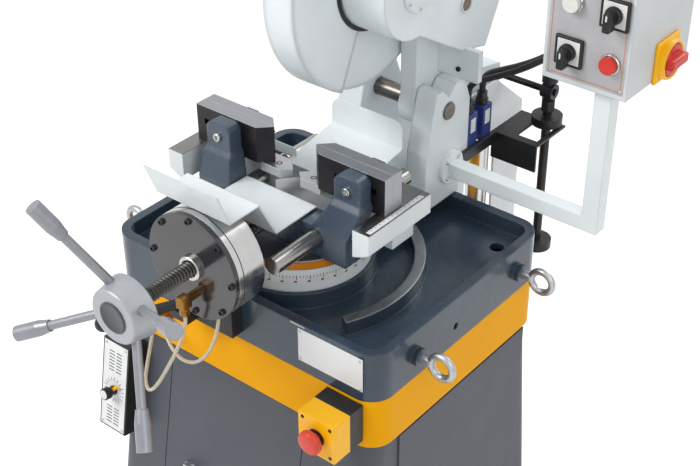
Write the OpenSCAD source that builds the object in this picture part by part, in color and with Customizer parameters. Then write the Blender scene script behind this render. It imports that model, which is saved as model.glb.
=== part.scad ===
// Cold saw: a circular metal saw with a lowering head, a mitre turntable and a vice on a stand.
// Frame: the floor below the turntable axis is the origin, +X right, +Y to the back, +Z up.

/* [Stand] */
// Height of the tray rim above the floor
rim_z = 790; // [740:5:840]
// Width of the tray casting
tray_w = 550; // [530:2:600]
// Distance from the turntable axis to the front of the tray
tray_front = 149; // [146:1:152]
// Distance from the turntable axis to the back of the tray
tray_back = 296; // [292:1:299]
// Height of the tray casting's side
tray_h = 88; // [70:1:100]
// Depth of the chip tray below its rim
tray_dish = 28; // [18:1:40]
// Width of the tray rim
rim_w = 16; // [10:1:24]
// Corner radius of the tray casting
tray_r = 40; // [25:1:60]
// Height of the painted band under the tray
band_h = 90; // [60:1:110]
// How far the cabinet's front runs out at the floor
flare_front = 118; // [60:1:140]
// How far the cabinet's back runs out at the floor
flare_back = 70; // [30:1:100]
// Wall of the cabinet's sheet
sheet_t = 4; // [3:0.5:6]
// Diameter of the floor anchor holes
anchor_d = 14; // [10:1:18]

/* [Turntable] */
// Radius of the turntable ring
ring_r = 119; // [112:1:120]
// Height of the turntable ring
ring_h = 42; // [36:1:48]
// Thickness of the bed plate over the ring
bed_plate_t = 16; // [12:1:18]
// Inner radius of the arc rail
rail_in = 186; // [180:1:190]
// Outer radius of the arc rail
rail_out = 204.5; // [198:0.5:210]

/* [Vice] */
// Height of the vice screw axis above the rim
vice_z = 92; // [90:1:95]
// Radius of the clamping cylinder
cyl_r = 87; // [80:1:88]
// Length of the clamping cylinder's barrel
cyl_len = 53; // [45:1:60]
// Half the distance between the guide rods
guide_x = 90; // [88:1:94]
// Diameter of the guide rods
rod_d = 28; // [24:1:30]
// Length of a guide rod
rod_len = 320; // [316:1:326]
// Height of the bed top above the rim
bed_top = 145; // [143:1:148]
// Half the width of the bed over its support bars
bed_half = 202; // [196:1:208]
// Height of a jaw plate
jaw_h = 62; // [50:1:70]
// Thickness of a jaw plate
jaw_t = 20; // [16:1:22]
// Half the gap between the left and right jaws at the clamping line
jaw_gap = 42; // [40:1:44]
// Outer end of the jaw plates from the middle
jaw_end = 188; // [180:1:195]
// Diameter of the vice screw
screw_d = 25; // [20:1:28]
// Radius of the handwheel to the end of its grips
wheel_r = 206; // [160:1:210]

/* [Head] */
// Diameter of the saw blade
blade_d = 350; // [340:1:352]
// Thickness of the saw blade
blade_t = 2.5; // [2:0.1:3.5]
// Height of the blade axis above the rim with the head raised
blade_z = 423; // [420:1:430]
// Distance of the raised blade axis behind the turntable axis
blade_y = 155; // [152:1:158]
// Height of the head pivot above the rim
pivot_z = 171; // [170:1:174]
// Distance of the head pivot behind the turntable axis
pivot_y = 262; // [260:1:264]
// Diameter of the pivot shaft
pivot_d = 30; // [26:1:32]
// Radius of the worm wheel
wheel_gear_r = 70; // [66:1:72]
// Length of the motor
motor_len = 190; // [150:1:220]
// Radius of the motor
motor_r = 70; // [60:1:76]

/* [Control panel] */
// Width of the control box
box_w = 139; // [136:1:150]
// Depth of the control box
box_d = 185; // [150:1:200]
// Height of the control box
box_h = 208; // [190:1:230]
// Side of the panel arm's tube
arm_tube = 25; // [20:1:30]
// Height of the panel arm above the rim
arm_z = 64; // [60:1:68]
// Left side of the control box
box_x = 279; // [277:1:290]
// Underside of the control box above the rim
box_z = 302; // [290:1:310]

/* [Hidden] */
$fn = 48;

// Clearances: a running fit, a gap between moving pieces and an overrun for cuts
run_gap = 0.05;
gap = 0.3;
over = 20;

// Colours
dark = "#3d4a59";
grey = "#5c5e66";
white = "#dfe5e7";
steel = "#8d8f93";
black = "#1f1f22";
yellow = "#f0ac12";

// Stand
band_top = rim_z - tray_h;
cab_top = band_top - band_h;
floor_t = 6;
cab_inset = 8;
cab_r = 32;
band_wall = 18;
cab_half = tray_w / 2 - cab_inset;
cab_front = tray_front - cab_inset;
cab_back = tray_back - cab_inset;
foot_front = cab_front + flare_front;
foot_back = cab_back + flare_back;
foot_y = (foot_back - foot_front) / 2;
anchor_in = 40;
anchor_x = 2 * cab_half - 2 * anchor_in;
anchor_y = foot_front + foot_back - 2 * anchor_in;
slab = 1;
front_tilt = atan(flare_front / (cab_top - floor_t - slab));
tray_floor_t = 12;
boss_r = 125;
rail_drop = 5;
rail_from = -29;
rail_sweep = 238;
drain_r = 12;
drain_at = [225, 235];
stop_hole_r = 6;
stop_hole_y = 49;
stop_hole_drop = 54;

// Doors and panels
door_x = -158;
door_w = 291;
door_low = 90;
door_below = 6;
door_len = (cab_top - door_below - door_low) / cos(front_tilt);
door_gap = 1.5;
pin_out = 6;
knuckle_r = 5;
pin_r = 2;
knuckle_len = 40;
leaf_w = 22;
leaf_t = 4;
knuckle_at_share = [0.15, 0.75];
latch_r = 17;
latch_in = 65;
latch_share = 0.58;
latch_up = door_len * latch_share;
latch_lip = 6;
latch_wing = [10, 14, 36];
panel_t = 3;
panel_y = [-83, 265];
panel_below = 12;
panel_z = [70, cab_top - panel_below];

// Lifting eyes
eye_y = [-52, 222];
eye_drop = 48;
eye_ring_r = 19;
eye_wire_r = 6;
eye_boss_r = 15;
eye_boss_len = 10;
eye_neck_r = 8;
eye_out = 36;

// Emergency stop
estop_in = 59;
estop_at = [tray_w / 2 - estop_in, -128];
estop_wide = 68;
estop_tall = 70;
estop_base_d = 30;
estop_lid_d = 37;
estop_stem_r = 8;
estop_head_r = 20;
estop_head_t = 18;
estop_press = 5;
estop_stem_len = 14;
estop_hole_deep = 16;

// Feed regulator
feed_past = 13;
feed_x = -cab_half - feed_past;
feed_w = 62;
feed_below = 200;
feed_low = cab_top - feed_below;
feed_len = 174;
feed_d = 42;
feed_knob_up = 80;
feed_knob_r = 15;
feed_knob_t = 20;
feed_stem_r = 4;
feed_stem_len = 12;

// Coolant tank and pump inside the cabinet
tank_size = [400, 300, 180];
tank_wall = 3;
tank_y = 40;
pump_r = 50;
pump_h = 150;
pump_foot = 8;
pump_in = 90;
pump_at = [tank_size[0] / 2 - pump_in, 90];

// Bed
post_r = 70;
disc_r = 121;
disc_z = rim_z + ring_h + gap;
disc_top = disc_z + bed_plate_t;
accent_t = 2;
accent_in = 2;
bar_w = 31;
bar_h = 40;
bar_y = 75;
bar_chamfer = 12;
bar_drop = 7;
block_y = 22;
nose_slope = 1;
tongue = [46, 100, 8, 23];
tongue_t = 18;
insert_t = 15;
insert_nose = 6;
insert_y = [-14, 20];
insert_end = 60;
bed_z = rim_z + bed_top;
screw_z = rim_z + vice_z;
rod_back = 160;

// Vice jaws and carriage
plate_z = bed_z + gap;
plate_half_gap = gap / 2;
slot_w = 10;
slot_len = 78;
slot_x = 133;
slot_up = 36;
rear_sup_x = [104, 150];
rear_sup_deep = 50;
rear_sup_top = 24;
rear_sup_h = 46;
beam_half = 148;
beam_y = [-62, -22];
beam_lift = 0.4;
beam_top = 112;
left_sup_x = -118;
right_sup_x = 138;
sup_half = 24.5;
sup_waist = 4;
sup_base = [84, 150];
sup_base_t = 6;
sup_front = 46;
sup_waist_front = 53;
sup_face = jaw_t + plate_half_gap;
sup_top_h = 206;
sup_lobe = 52;
sup_corner = 10;
screw_tip_r = 10;
screw_tip_len = 20;
cyl_back = 172;
cover_t = 8;
nut_r = 22;
nut_len = 13;
bracket_x = [-100, 12];
bracket_z = [-72, 54];

// Front chute, as offsets from the turntable axis and heights above the rim
chute_x = [-82, 62];
chute_t = 2;
chute_floor = 114.5;
chute_rear = 24;
chute_step = [118, 152];
chute_crest = vice_z + cyl_r + gap;
chute_valley = 213;
chute_lip = [235, 235];

// Handwheel
hub_back = 348;
hub_front = 388;
hub_r = 50;
hub_front_r = 41;
hub_edge = 2;
spoke_r = 7;
spoke_from = 36;
grip_r = 12;
grip_neck_r = 9;
grip_neck = 20;
grip_len = 60;
spoke_tilt = 23;
spoke_turn = 26.6;
spoke_y = 349;
spokes = 4;

// Hose fittings and hoses, whose routes were drawn at one height of the rim
route_rim = 790;
elbow_x = 2;
elbow_z = 45;
elbow_r = 7;
elbow_out = 24;
elbow_drop = 24;
hose_d = 6;
rear_fit_y = 198;
wall_fit_r = 7;
wall_fit_len = 14;
wall_fits = [[-172, -118], [-152, -118]];
hose_front_points = [[2, -257, 811], [2, -257, 798], [-2, -257, 785], [-10, -256, 760], [-22, -255, 736],
    [-29, -258, 718], [-36, -265, 699], [-46, -272, 675], [-55, -277, 658], [-68, -277, 643],
    [-81, -273, 637], [-93, -265, 642], [-106, -249, 650], [-120, -229, 659], [-137, -206, 667],
    [-153, -186, 671], [-167, -172, 672], [-172, -166, 672], [-172, -163, 672]];
hose_rear_points = [[11, -198, 783], [11, -198, 772], [8, -198, 756], [3, -199, 735], [-5, -200, 714],
    [-15, -201, 695], [-27, -202, 678], [-42, -203, 664], [-58, -203, 656], [-76, -202, 653], [-94, -198, 655],
    [-110, -193, 660], [-124, -186, 666], [-137, -178, 670], [-147, -170, 672],
    [-152, -166, 672], [-152, -163, 672]];

// Swivel lock lever
lever_at = [-72, -188];
lever_ledge = [18, 30];
lever_ledge_z = [-59, -43];
lever_hub_r = 12;
lever_hub_h = 22;
lever_pin_r = 5;
lever_pin_len = 10;
lever_turn = -116.6;
lever_len = 130;
lever_w = 12;
lever_knob_r = 13;

// Column
arm_half = 85;
arm_y = [60, 205];
arm_low = 3;
pad_y = [188, 203];
pad_half = 60;
col_x = [-90, 100];
col_base_y = [203, 300];
col_base_top = 60;
left_cheek = [-90, -42];
right_cheek = [62, 100];
cheek_front = 203;
cheek_back = 322;
cheek_top = 214;
cheek_heel = 296;
notch_half = 17;
notch_low = 196;
shaft_proud = 2;

// Panel arm and control box
flange_r = 30;
flange_t = 8;
arm_y_mid = 269.5;
post_x = [360, 388];
box_front = 240;
box_wall = 3;
stem_r = 5;
stem_in = 14;
button_r = 13;
button_t = 9;
button_press = 4;
knob_stem_out = 12;
knob_size = [12, 18, 40];
main_knob = [18, 50, 22];
main_stem_out = 10;
start_at = [322, 432];
stop_at = [389, 355];
mode_at = [322, 355];
pump_sw_at = [389, 432];
main_at = [349, 332];

// Limit switches and their bracket
sw_size = [25, 25, 65];
sw_y = [324, 366];
sw_z = 68;
gland_r = 9;
gland_h = 22;
brk_t = 8;
brk_y = [300, 396];
brk_z = [55, 75];
fork_x = [100, 190];
fork_y = [396, 490];
fork_t = 4;
fork_skirt = 24;
slot_mid_x = 161;
fork_slot_half = 20;
fork_slot_y = [412, 486];
cable_d = 11;
cable_near_points = [[87.5, 336.5, 945], [87.5, 336.5, 956], [89, 336.2, 966], [93.5, 335.4, 975],
    [101, 334.1, 983], [112, 332.2, 991], [126, 329.7, 999.5], [140, 327.3, 1008], [155, 324.7, 1017],
    [170, 322.1, 1026.5],
    [185, 319.4, 1036.5], [200, 316.8, 1047], [214, 314.4, 1057.5], [227, 312.1, 1067.8], [239, 310, 1077],
    [249, 308.3, 1084.3], [258, 306.9, 1091], [265, 306.2, 1095.2], [272, 306, 1098.2], [279, 306, 1098.2]];
cable_far_points = [[87.5, 378.5, 945], [87.5, 378.5, 956], [89, 378.1, 966], [93.5, 377, 975], [101, 375, 983],
    [112, 372.3, 991], [126, 368.7, 999.5], [140, 365.2, 1008], [155, 361.4, 1017], [170, 357.6, 1026.5],
    [185, 353.8, 1036.5], [200, 350, 1047], [214, 346.5, 1057.5], [227, 343.2, 1067.8], [239, 340.3, 1077],
    [249, 337.9, 1084.3], [258, 336, 1091], [265, 335, 1095.2], [272, 334.4, 1098.2], [279, 334.4, 1098.2]];

// Rear plates, feed cylinder and stop rod
rear_right = [66, 70];
rear_left = [-50, -46];
rear_front = 322;
rear_up = [15, 140];
rear_knee = 452;
rear_end = [540, 66];
rear_low = -186;
rear_step = 455;
shelf_y = [425, 467];
shelf_t = 8;
feed_at = [43, 445];
feed_r = 20;
feed_low_z = -170;
feed_rod_r = 8;
feed_pad_r = 14;
feed_pad_t = 8;
feed_pad_z = 115.6;
link_at = [474, 140];
link_pin_r = 6;
link_eye_r = 14;
link_x = [150, 172];
link_pin_end = 176;
rod_r = 8;
rod_low = -182;
stop_disc_r = 27;
stop_disc_t = 16;
disc_gap = 3;
low_disc_z = -178;
nut_hex_r = 13;
nut_hex_z = [104, 124];
rod_high = 222;
collar_r = 14;
collar_z = [158, 182];

// Rear chute behind the bed
rear_chute_x = [-73, 72];
rear_chute_t = 2;
rear_chute_low = [58, 108];
rear_chute_back = [176, 128];
rear_chute_top = 176;
rear_chute_r = 18;
rear_tab_x = [66, 140];
rear_tab_z = [107, 125];

// Head casting, guards and drive
lug_x = [26, 60];
lug_r = 38;
lever_end_r = 22;
ear_x = [58, 138];
ear_y = [284, 296];
ear_z = [222, 276];
gear_x = [30.5, 110];
neck_r = 58;
neck_x = 22;
shaft_r = 20;
cavity_gap = 4;
gear_slice = [50, 80];
gear_wall = 6;
gear_round = wheel_gear_r + cavity_gap + gear_wall;
worm_r = 17;
mesh_gap = 0.4;
worm_y = blade_y + wheel_gear_r + worm_r + mesh_gap;
worm_x = (gear_slice[0] + gear_slice[1]) / 2;
worm_half = 60;
worm_shaft_r = 10;
motor_z = 612;
motor_neck_r = 32;
motor_bore = 60;
flange_disc_r = 45;
flange_disc_t = 13;
teeth = 90;
tooth_h = 4;
guard_wall = 2.5;
guard_tip = 3;
guard_half = 22;
guard_in = 30;
guard_from = -26.6;
guard_sweep = 241.6;
front_half = 27.5;
front_from = -152;
front_sweep = 128;
front_ring_w = 16;
cut_share = 0.55;
left_boss_t = 8;
// Gearbox side profile as points from the blade axis
gear_profile = [[-35, -20], [0, -75], [123, -148], [189, -164], [225, -93], [205, 7], [135, 97],
    [-5, 97], [-45, 37]];

// Common shapes
module block(x, y, z) {
    translate([x[0], y[0], z[0]]) cube([x[1] - x[0], y[1] - y[0], z[1] - z[0]]);
}

module rounded(x, y, r) {
    translate([x[0] + r, y[0]]) square([x[1] - x[0] - 2 * r, y[1] - y[0]]);
    translate([x[0], y[0] + r]) square([x[1] - x[0], y[1] - y[0] - 2 * r]);
    for (i = [0, 1], j = [0, 1])
        translate([i == 0 ? x[0] + r : x[1] - r, j == 0 ? y[0] + r : y[1] - r]) circle(r);
}

module rod_x(x, y, z, r) {
    translate([x[0], y, z]) rotate([0, 90, 0]) cylinder(h = x[1] - x[0], r = r);
}

module rod_y(x, y, z, r) {
    translate([x, y[1], z]) rotate([90, 0, 0]) cylinder(h = y[1] - y[0], r = r);
}

module rod_z(x, y, z, r) {
    translate([x, y, z[0]]) cylinder(h = z[1] - z[0], r = r);
}

// A side profile in Y and Z, drawn between two X values
module side(x, points) {
    translate([x[0], 0, 0]) rotate([90, 0, 90]) linear_extrude(x[1] - x[0]) polygon(points);
}

// A front profile in X and Z, drawn between two Y values
module front(y, points) {
    translate([0, y[1], 0]) rotate([90, 0, 0]) linear_extrude(y[1] - y[0]) polygon(points);
}

// Both sides of the vice
module both() {
    children();
    mirror([1, 0, 0]) children();
}

// A frame on the leaning front, with Z up the slope and -Y outwards
function front_y(z) = -foot_front + (z - floor_t - slab) * tan(front_tilt);
module on_front(x, z) {
    translate([x, front_y(z), z]) rotate([-front_tilt, 0, 0]) children();
}

// A swept tube along route points
function unit(v) = v / norm(v);
function along(p, i) = unit(p[min(i + 1, len(p) - 1)] - p[max(i - 1, 0)]);
function side_of(t) = unit(cross(t, abs(t[2]) > 0.9 ? [0, 1, 0] : [0, 0, 1]));
function carried(p, i) = i == 0 ? side_of(along(p, 0))
    : unit(carried(p, i - 1) - along(p, i) * (carried(p, i - 1) * along(p, i)));
module tube(route, d, sides) {
    p = [for (q = route) [q[0], q[1], q[2] + rim_z - route_rim]];
    n = len(p);
    ring = [for (i = [0:n - 1]) let (t = along(p, i), u = carried(p, i), v = cross(t, u))
        for (k = [0:sides - 1]) p[i] + d / 2 * (u * cos(360 * k / sides) + v * sin(360 * k / sides))];
    walls = [for (i = [0:n - 2], k = [0:sides - 1])
        let (a = i * sides + k, b = i * sides + (k + 1) % sides)
        each [[a, b + sides, b], [a, a + sides, b + sides]]];
    ends = [for (k = [1:sides - 2]) each [[0, k, k + 1],
        [(n - 1) * sides, (n - 1) * sides + k + 1, (n - 1) * sides + k]]];
    polyhedron(ring, concat(walls, ends));
}

// Stand
module floor_plate() {
    color(grey) difference() {
        block([-cab_half, cab_half], [-foot_front, foot_back], [0, floor_t]);
        for (i = [-1, 1], j = [-1, 1])
            rod_z(i * anchor_x / 2, foot_y + j * anchor_y / 2, [-over, floor_t + over], anchor_d / 2);
    }
}

module cabinet_form(inset, z) {
    r = cab_r - inset;
    hull() {
        translate([0, 0, z[0]]) linear_extrude(slab) rounded([-cab_half + inset, cab_half - inset],
            [-foot_front + inset, foot_back - inset], r, $fn = 32);
        translate([0, 0, z[1] - slab]) linear_extrude(slab) rounded([-cab_half + inset, cab_half - inset],
            [-cab_front + inset, cab_back - inset], r, $fn = 32);
    }
}

module hinge_pins() {
    for (s = knuckle_at_share) on_front(door_x + door_w, door_low) {
        translate([0, -pin_out, door_len * s - knuckle_len]) cylinder(h = knuckle_len, r = pin_r);
        translate([0, -pin_out, door_len * s - knuckle_len]) cylinder(h = knuckle_len / 2 - gap, r = knuckle_r);
        translate([0, -pin_out, door_len * s - knuckle_len]) cube([leaf_w, leaf_t, knuckle_len / 2 - gap]);
        translate([leaf_w - leaf_t, -pin_out, door_len * s - knuckle_len])
            cube([leaf_t, pin_out + sheet_t / 2, knuckle_len / 2 - gap]);
    }
}

module cabinet() {
    color(grey) {
        difference() {
            cabinet_form(0, [floor_t, cab_top]);
            translate([0, 0, 0]) cabinet_form(sheet_t, [floor_t - slab, cab_top + slab]);
            on_front(door_x, door_low) translate([0, -over, 0]) cube([door_w, 2 * over, door_len]);
        }
        hinge_pins();
    }
}

module cabinet_band() {
    color(yellow) translate([0, 0, cab_top]) linear_extrude(band_h) difference() {
        rounded([-tray_w / 2, tray_w / 2], [-tray_front, tray_back], tray_r);
        rounded([-tray_w / 2 + band_wall, tray_w / 2 - band_wall],
            [-tray_front + band_wall, tray_back - band_wall], tray_r - band_wall);
    }
}

module tray_casting() {
    inner_x = [-tray_w / 2 + rim_w, tray_w / 2 - rim_w];
    inner_y = [-tray_front + rim_w, tray_back - rim_w];
    inner_r = tray_r - rim_w;
    color(dark) {
        difference() {
            translate([0, 0, band_top]) linear_extrude(tray_h)
                rounded([-tray_w / 2, tray_w / 2], [-tray_front, tray_back], tray_r);
            translate([0, 0, rim_z - tray_dish]) linear_extrude(tray_dish + over)
                rounded(inner_x, inner_y, inner_r);
            translate([0, 0, band_top - over]) linear_extrude(tray_h - tray_dish - tray_floor_t + over)
                rounded(inner_x, inner_y, inner_r);
            rod_z(drain_at[0], drain_at[1], [band_top, rim_z], drain_r);
            rod_x([inner_x[1] - over, inner_x[1] + rim_w + over], stop_hole_y,
                rim_z - stop_hole_drop, stop_hole_r);
        }
        rod_z(0, 0, [rim_z - tray_dish, rim_z], boss_r);
        translate([0, 0, rim_z - tray_dish]) rotate(rail_from) rotate_extrude(angle = rail_sweep, $fn = 96)
            translate([rail_in, 0]) square([rail_out - rail_in, tray_dish - rail_drop]);
        for (s = [-1, 1], y = eye_y) translate([s * tray_w / 2, y, rim_z - eye_drop])
            rotate([0, s * 90, 0]) cylinder(h = eye_boss_len, r = eye_boss_r);
    }
}

module lifting_eyes() {
    out = tray_w / 2 + eye_boss_len;
    color(steel) for (s = [-1, 1], y = eye_y) translate([s * out, y, rim_z - eye_drop]) {
        rotate([0, s * 90, 0]) cylinder(h = eye_out - eye_ring_r, r = eye_neck_r);
        translate([s * eye_out, 0, 0]) rotate([90, 0, 0]) rotate_extrude() translate([eye_ring_r, 0])
            circle(eye_wire_r, $fn = 24);
    }
}

module side_panel() {
    color(grey) block([cab_half, cab_half + panel_t], panel_y, panel_z);
}

module cabinet_door() {
    w = door_w - door_gap;
    color(grey) difference() {
        on_front(door_x, door_low) {
            translate([door_gap, 0, door_gap]) cube([w - door_gap, sheet_t, door_len - 2 * door_gap]);
            for (s = knuckle_at_share) translate([0, 0, door_len * s - knuckle_len / 2]) {
                translate([w - leaf_w, -pin_out, 0]) cube([leaf_t, pin_out, knuckle_len / 2]);
                translate([w - leaf_w, -pin_out, 0]) cube([leaf_w, leaf_t, knuckle_len / 2]);
                translate([door_w, -pin_out, 0]) cylinder(h = knuckle_len / 2, r = knuckle_r);
            }
        }
        on_front(door_x, door_low) {
            for (s = knuckle_at_share) translate([door_w, -pin_out, door_len * s - over - knuckle_len])
                cylinder(h = 2 * over + 2 * knuckle_len, r = pin_r + run_gap);
            translate([latch_in, over, latch_up]) rotate([90, 0, 0])
                cylinder(h = 2 * over, r = latch_r + run_gap);
        }
    }
}

module door_latch() {
    color(steel) on_front(door_x + latch_in, door_low + latch_up * cos(front_tilt)) {
        translate([0, sheet_t + latch_lip, 0]) rotate([90, 0, 0])
            cylinder(h = sheet_t + 2 * latch_lip, r = latch_r);
        translate([-latch_wing[0] / 2, -latch_lip - latch_wing[1], -latch_wing[2] / 2]) cube(latch_wing);
    }
}

module coolant_tank() {
    t = tank_size;
    color("#8a8d90") translate([-t[0] / 2, tank_y - t[1] / 2, floor_t]) difference() {
        cube(t);
        translate([tank_wall, tank_wall, tank_wall]) cube([t[0] - 2 * tank_wall, t[1] - 2 * tank_wall, t[2]]);
    }
}

module coolant_pump() {
    top = floor_t + tank_size[2];
    color(black) {
        rod_z(pump_at[0], pump_at[1], [floor_t + tank_wall, top], pump_r / 2);
        block([pump_at[0] - pump_r, pump_at[0] + pump_r],
            [tank_y - tank_size[1] / 2, tank_y + tank_size[1] / 2], [top, top + pump_foot]);
        rod_z(pump_at[0], pump_at[1], [top + pump_foot, top + pump_foot + pump_h], pump_r);
    }
}

// Emergency stop on the band
module estop_base() {
    color(black) block([estop_at[0] - estop_wide / 2, estop_at[0] + estop_wide / 2],
        [-tray_front - estop_base_d, -tray_front],
        [rim_z + estop_at[1] - estop_tall / 2, rim_z + estop_at[1] + estop_tall / 2]);
}

module estop_lid() {
    y = -tray_front - estop_base_d;
    color("#f7b800") difference() {
        block([estop_at[0] - estop_wide / 2, estop_at[0] + estop_wide / 2], [y - estop_lid_d, y],
            [rim_z + estop_at[1] - estop_tall / 2, rim_z + estop_at[1] + estop_tall / 2]);
        rod_y(estop_at[0], [y - estop_lid_d - over, y - estop_lid_d + estop_hole_deep + estop_press],
            rim_z + estop_at[1], estop_stem_r + run_gap);
    }
}

module estop_button() {
    y = -tray_front - estop_base_d - estop_lid_d;
    out = estop_press + gap;
    color("#d23b30") {
        rod_y(estop_at[0], [y - out - estop_head_t, y - out], rim_z + estop_at[1], estop_head_r);
        rod_y(estop_at[0], [y - out, y - out + estop_stem_len], rim_z + estop_at[1], estop_stem_r);
    }
}

// Feed regulator on the leaning front
module feed_box() {
    color(black) difference() {
        on_front(feed_x, feed_low) translate([0, -feed_d, 0]) cube([feed_w, feed_d, feed_len]);
        on_front(feed_x, feed_low) translate([feed_w / 2, -feed_d + feed_stem_len + gap, feed_knob_up])
            rotate([90, 0, 0]) cylinder(h = over + feed_d, r = feed_stem_r + run_gap);
        block([feed_x - over, feed_x + feed_w + over], [-tray_front, 0], [cab_top, rim_z]);
    }
}

module feed_knob() {
    color(black) on_front(feed_x, feed_low) translate([feed_w / 2, -feed_d, feed_knob_up]) rotate([90, 0, 0]) {
        translate([0, 0, gap]) cylinder(h = feed_knob_t, r = feed_knob_r);
        translate([0, 0, -feed_stem_len]) cylinder(h = feed_stem_len + gap, r = feed_stem_r);
    }
}

// Lock lever on the cylinder bracket's ledge
module swivel_lever() {
    color(black) translate([lever_at[0], lever_at[1], rim_z + lever_ledge_z[1] + gap]) rotate(lever_turn) {
        cylinder(h = lever_hub_h, r = lever_hub_r);
        translate([0, 0, -lever_pin_len]) cylinder(h = lever_pin_len, r = lever_pin_r);
        translate([0, -lever_w / 2, lever_hub_h / 2 - lever_w / 2]) cube([lever_len, lever_w, lever_w]);
        translate([lever_len, 0, lever_hub_h / 2]) sphere(lever_knob_r, $fn = 32);
    }
}

// Bed over the turntable
module bed_plate() {
    color(steel) {
        rod_z(0, 0, [rim_z, disc_z], post_r);
        rod_z(0, 0, [disc_z, disc_top], disc_r);
    }
}

module accent_ring() {
    color("#c97a12") translate([0, 0, disc_z + accent_in]) difference() {
        cylinder(h = bed_plate_t - 2 * accent_in, r = disc_r + accent_t, $fn = 96);
        translate([0, 0, -over]) cylinder(h = bed_plate_t + 2 * over, r = disc_r, $fn = 96);
    }
}

module bed_arms() {
    in = bed_half - bar_w;
    nose = jaw_gap + block_y;
    color(white) both() difference() {
        union() {
            translate([0, 0, disc_top]) linear_extrude(bed_z - disc_top) polygon([[nose, block_y],
                [nose + (bar_y - block_y) * nose_slope, bar_y], [in, bar_y], [in, block_y]]);
            front([-bar_y, bar_y], [[in, bed_z], [bed_half, bed_z], [bed_half, bed_z - bar_h + bar_drop],
                [bed_half - bar_chamfer, bed_z - bar_h], [in, bed_z - bar_h - bar_drop]]);
            block([tongue[0], tongue[1]], [tongue[2], tongue[3]],
                [bed_z - insert_t - tongue_t, bed_z - insert_t]);
        }
        rod_y(guide_x, [-rod_back, rod_back], screw_z, rod_d / 2);
        translate([0, 0, bed_z - insert_t]) linear_extrude(insert_t + over) insert_shape(gap);
    }
}

module insert_shape(grow) {
    e = insert_end + grow;
    y = insert_y[1] + grow;
    polygon([[insert_nose, 0], [insert_nose - insert_y[0], insert_y[0]], [e, insert_y[0]], [e, y],
        [insert_nose + y, y]]);
}

module slot_inserts() {
    color("#b9bcc0") both() translate([0, 0, bed_z - insert_t]) linear_extrude(insert_t) insert_shape(0);
}

module guide_rods() {
    color(steel) both() rod_y(guide_x, [rod_back - rod_len, rod_back], screw_z, rod_d / 2);
}

// A jaw plate on the positive side, from the clamping line back
module jaw_plate() {
    difference() {
        translate([0, 0, plate_z]) linear_extrude(jaw_h) polygon([[jaw_gap, plate_half_gap],
            [jaw_end, plate_half_gap], [jaw_end, jaw_t + plate_half_gap],
            [jaw_gap + jaw_t, jaw_t + plate_half_gap]]);
        translate([slot_x - slot_len / 2, -over, plate_z + slot_up - slot_w / 2])
            cube([slot_len, jaw_t + 2 * over, slot_w]);
    }
}

module rear_jaw_plates() {
    color("#6e6866") both() jaw_plate();
}

module front_jaw_plates() {
    color("#6e6866") both() mirror([0, 1, 0]) jaw_plate();
}

module rear_jaw_supports() {
    y = jaw_t + plate_half_gap;
    x = rear_sup_x;
    color(dark) both() hull() {
        block(x, [y, y + rear_sup_deep], [bed_z, bed_z + slab]);
        block([x[0] + rear_sup_top / 2, x[1] - rear_sup_top / 2], [y, y + rear_sup_top],
            [bed_z + rear_sup_h - slab, bed_z + rear_sup_h]);
    }
}

// Clamping cylinder and its bracket
module cylinder_bracket() {
    ledge = [rim_z + lever_ledge_z[0], rim_z + lever_ledge_z[1]];
    color(black) difference() {
        union() {
            block(bracket_x, [-cyl_back, -tray_front],
                [rim_z + bracket_z[0], rim_z + bracket_z[1]]);
            block([lever_at[0] - lever_ledge[0], lever_at[0] + lever_ledge[0]],
                [-cyl_back - lever_ledge[1], -cyl_back], ledge);
        }
        rod_z(lever_at[0], lever_at[1], [ledge[1] - lever_pin_len, ledge[1] + over], lever_pin_r + run_gap);
    }
}

module vice_cylinder() {
    color("#b8bbc0") difference() {
        union() {
            rod_y(0, [-cyl_back - cyl_len, -cyl_back], screw_z, cyl_r, $fn = 96);
            rod_y(0, [-cyl_back, -cyl_back + nut_len], screw_z, nut_r);
        }
        rod_y(0, [-cyl_back - cyl_len - over, over], screw_z, screw_d / 2 + run_gap);
    }
}

module cylinder_cover() {
    y = -cyl_back - cyl_len;
    color("#43454c") difference() {
        rod_y(0, [y - cover_t, y], screw_z, cyl_r, $fn = 96);
        rod_y(0, [y - cover_t - over, y + over], screw_z, screw_d / 2 + run_gap);
    }
}

module hose_fittings() {
    y = -cyl_back - cyl_len - cover_t;
    color("#b07a2c") {
        rod_y(elbow_x, [y - elbow_out, y], rim_z + elbow_z, elbow_r);
        rod_z(elbow_x, y - elbow_out, [rim_z + elbow_z - elbow_drop, rim_z + elbow_z], elbow_r);
        difference() {
            rod_z(hose_rear_points[0][0], -rear_fit_y,
                [hose_rear_points[0][2] + rim_z - route_rim, screw_z], elbow_r);
            rod_y(0, [-cyl_back - cyl_len, -cyl_back], screw_z, cyl_r, $fn = 96);
        }
        for (p = wall_fits) rod_y(p[0], [-tray_front - wall_fit_len, -tray_front], rim_z + p[1], wall_fit_r);
    }
}

module air_hose_front() {
    color("#d8c9a8") tube(hose_front_points, hose_d, 8);
}

module air_hose_rear() {
    color("#d8c9a8") tube(hose_rear_points, hose_d, 8);
}

// Front chute: a folded sheet over the carriage and the cylinder
module front_chute() {
    z = rim_z + chute_floor;
    c = rim_z + chute_crest;
    color(white) side(chute_x, [[-chute_rear, z], [-chute_step[0], z], [-chute_step[1], c],
        [-chute_valley, c], [-chute_lip[0], rim_z + chute_lip[1]],
        [-chute_lip[0] + chute_t, rim_z + chute_lip[1]], [-chute_valley + chute_t, c + chute_t],
        [-chute_step[1] + chute_t, c + chute_t], [-chute_step[0] + chute_t, z + chute_t],
        [-chute_rear, z + chute_t]]);
}

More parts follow.
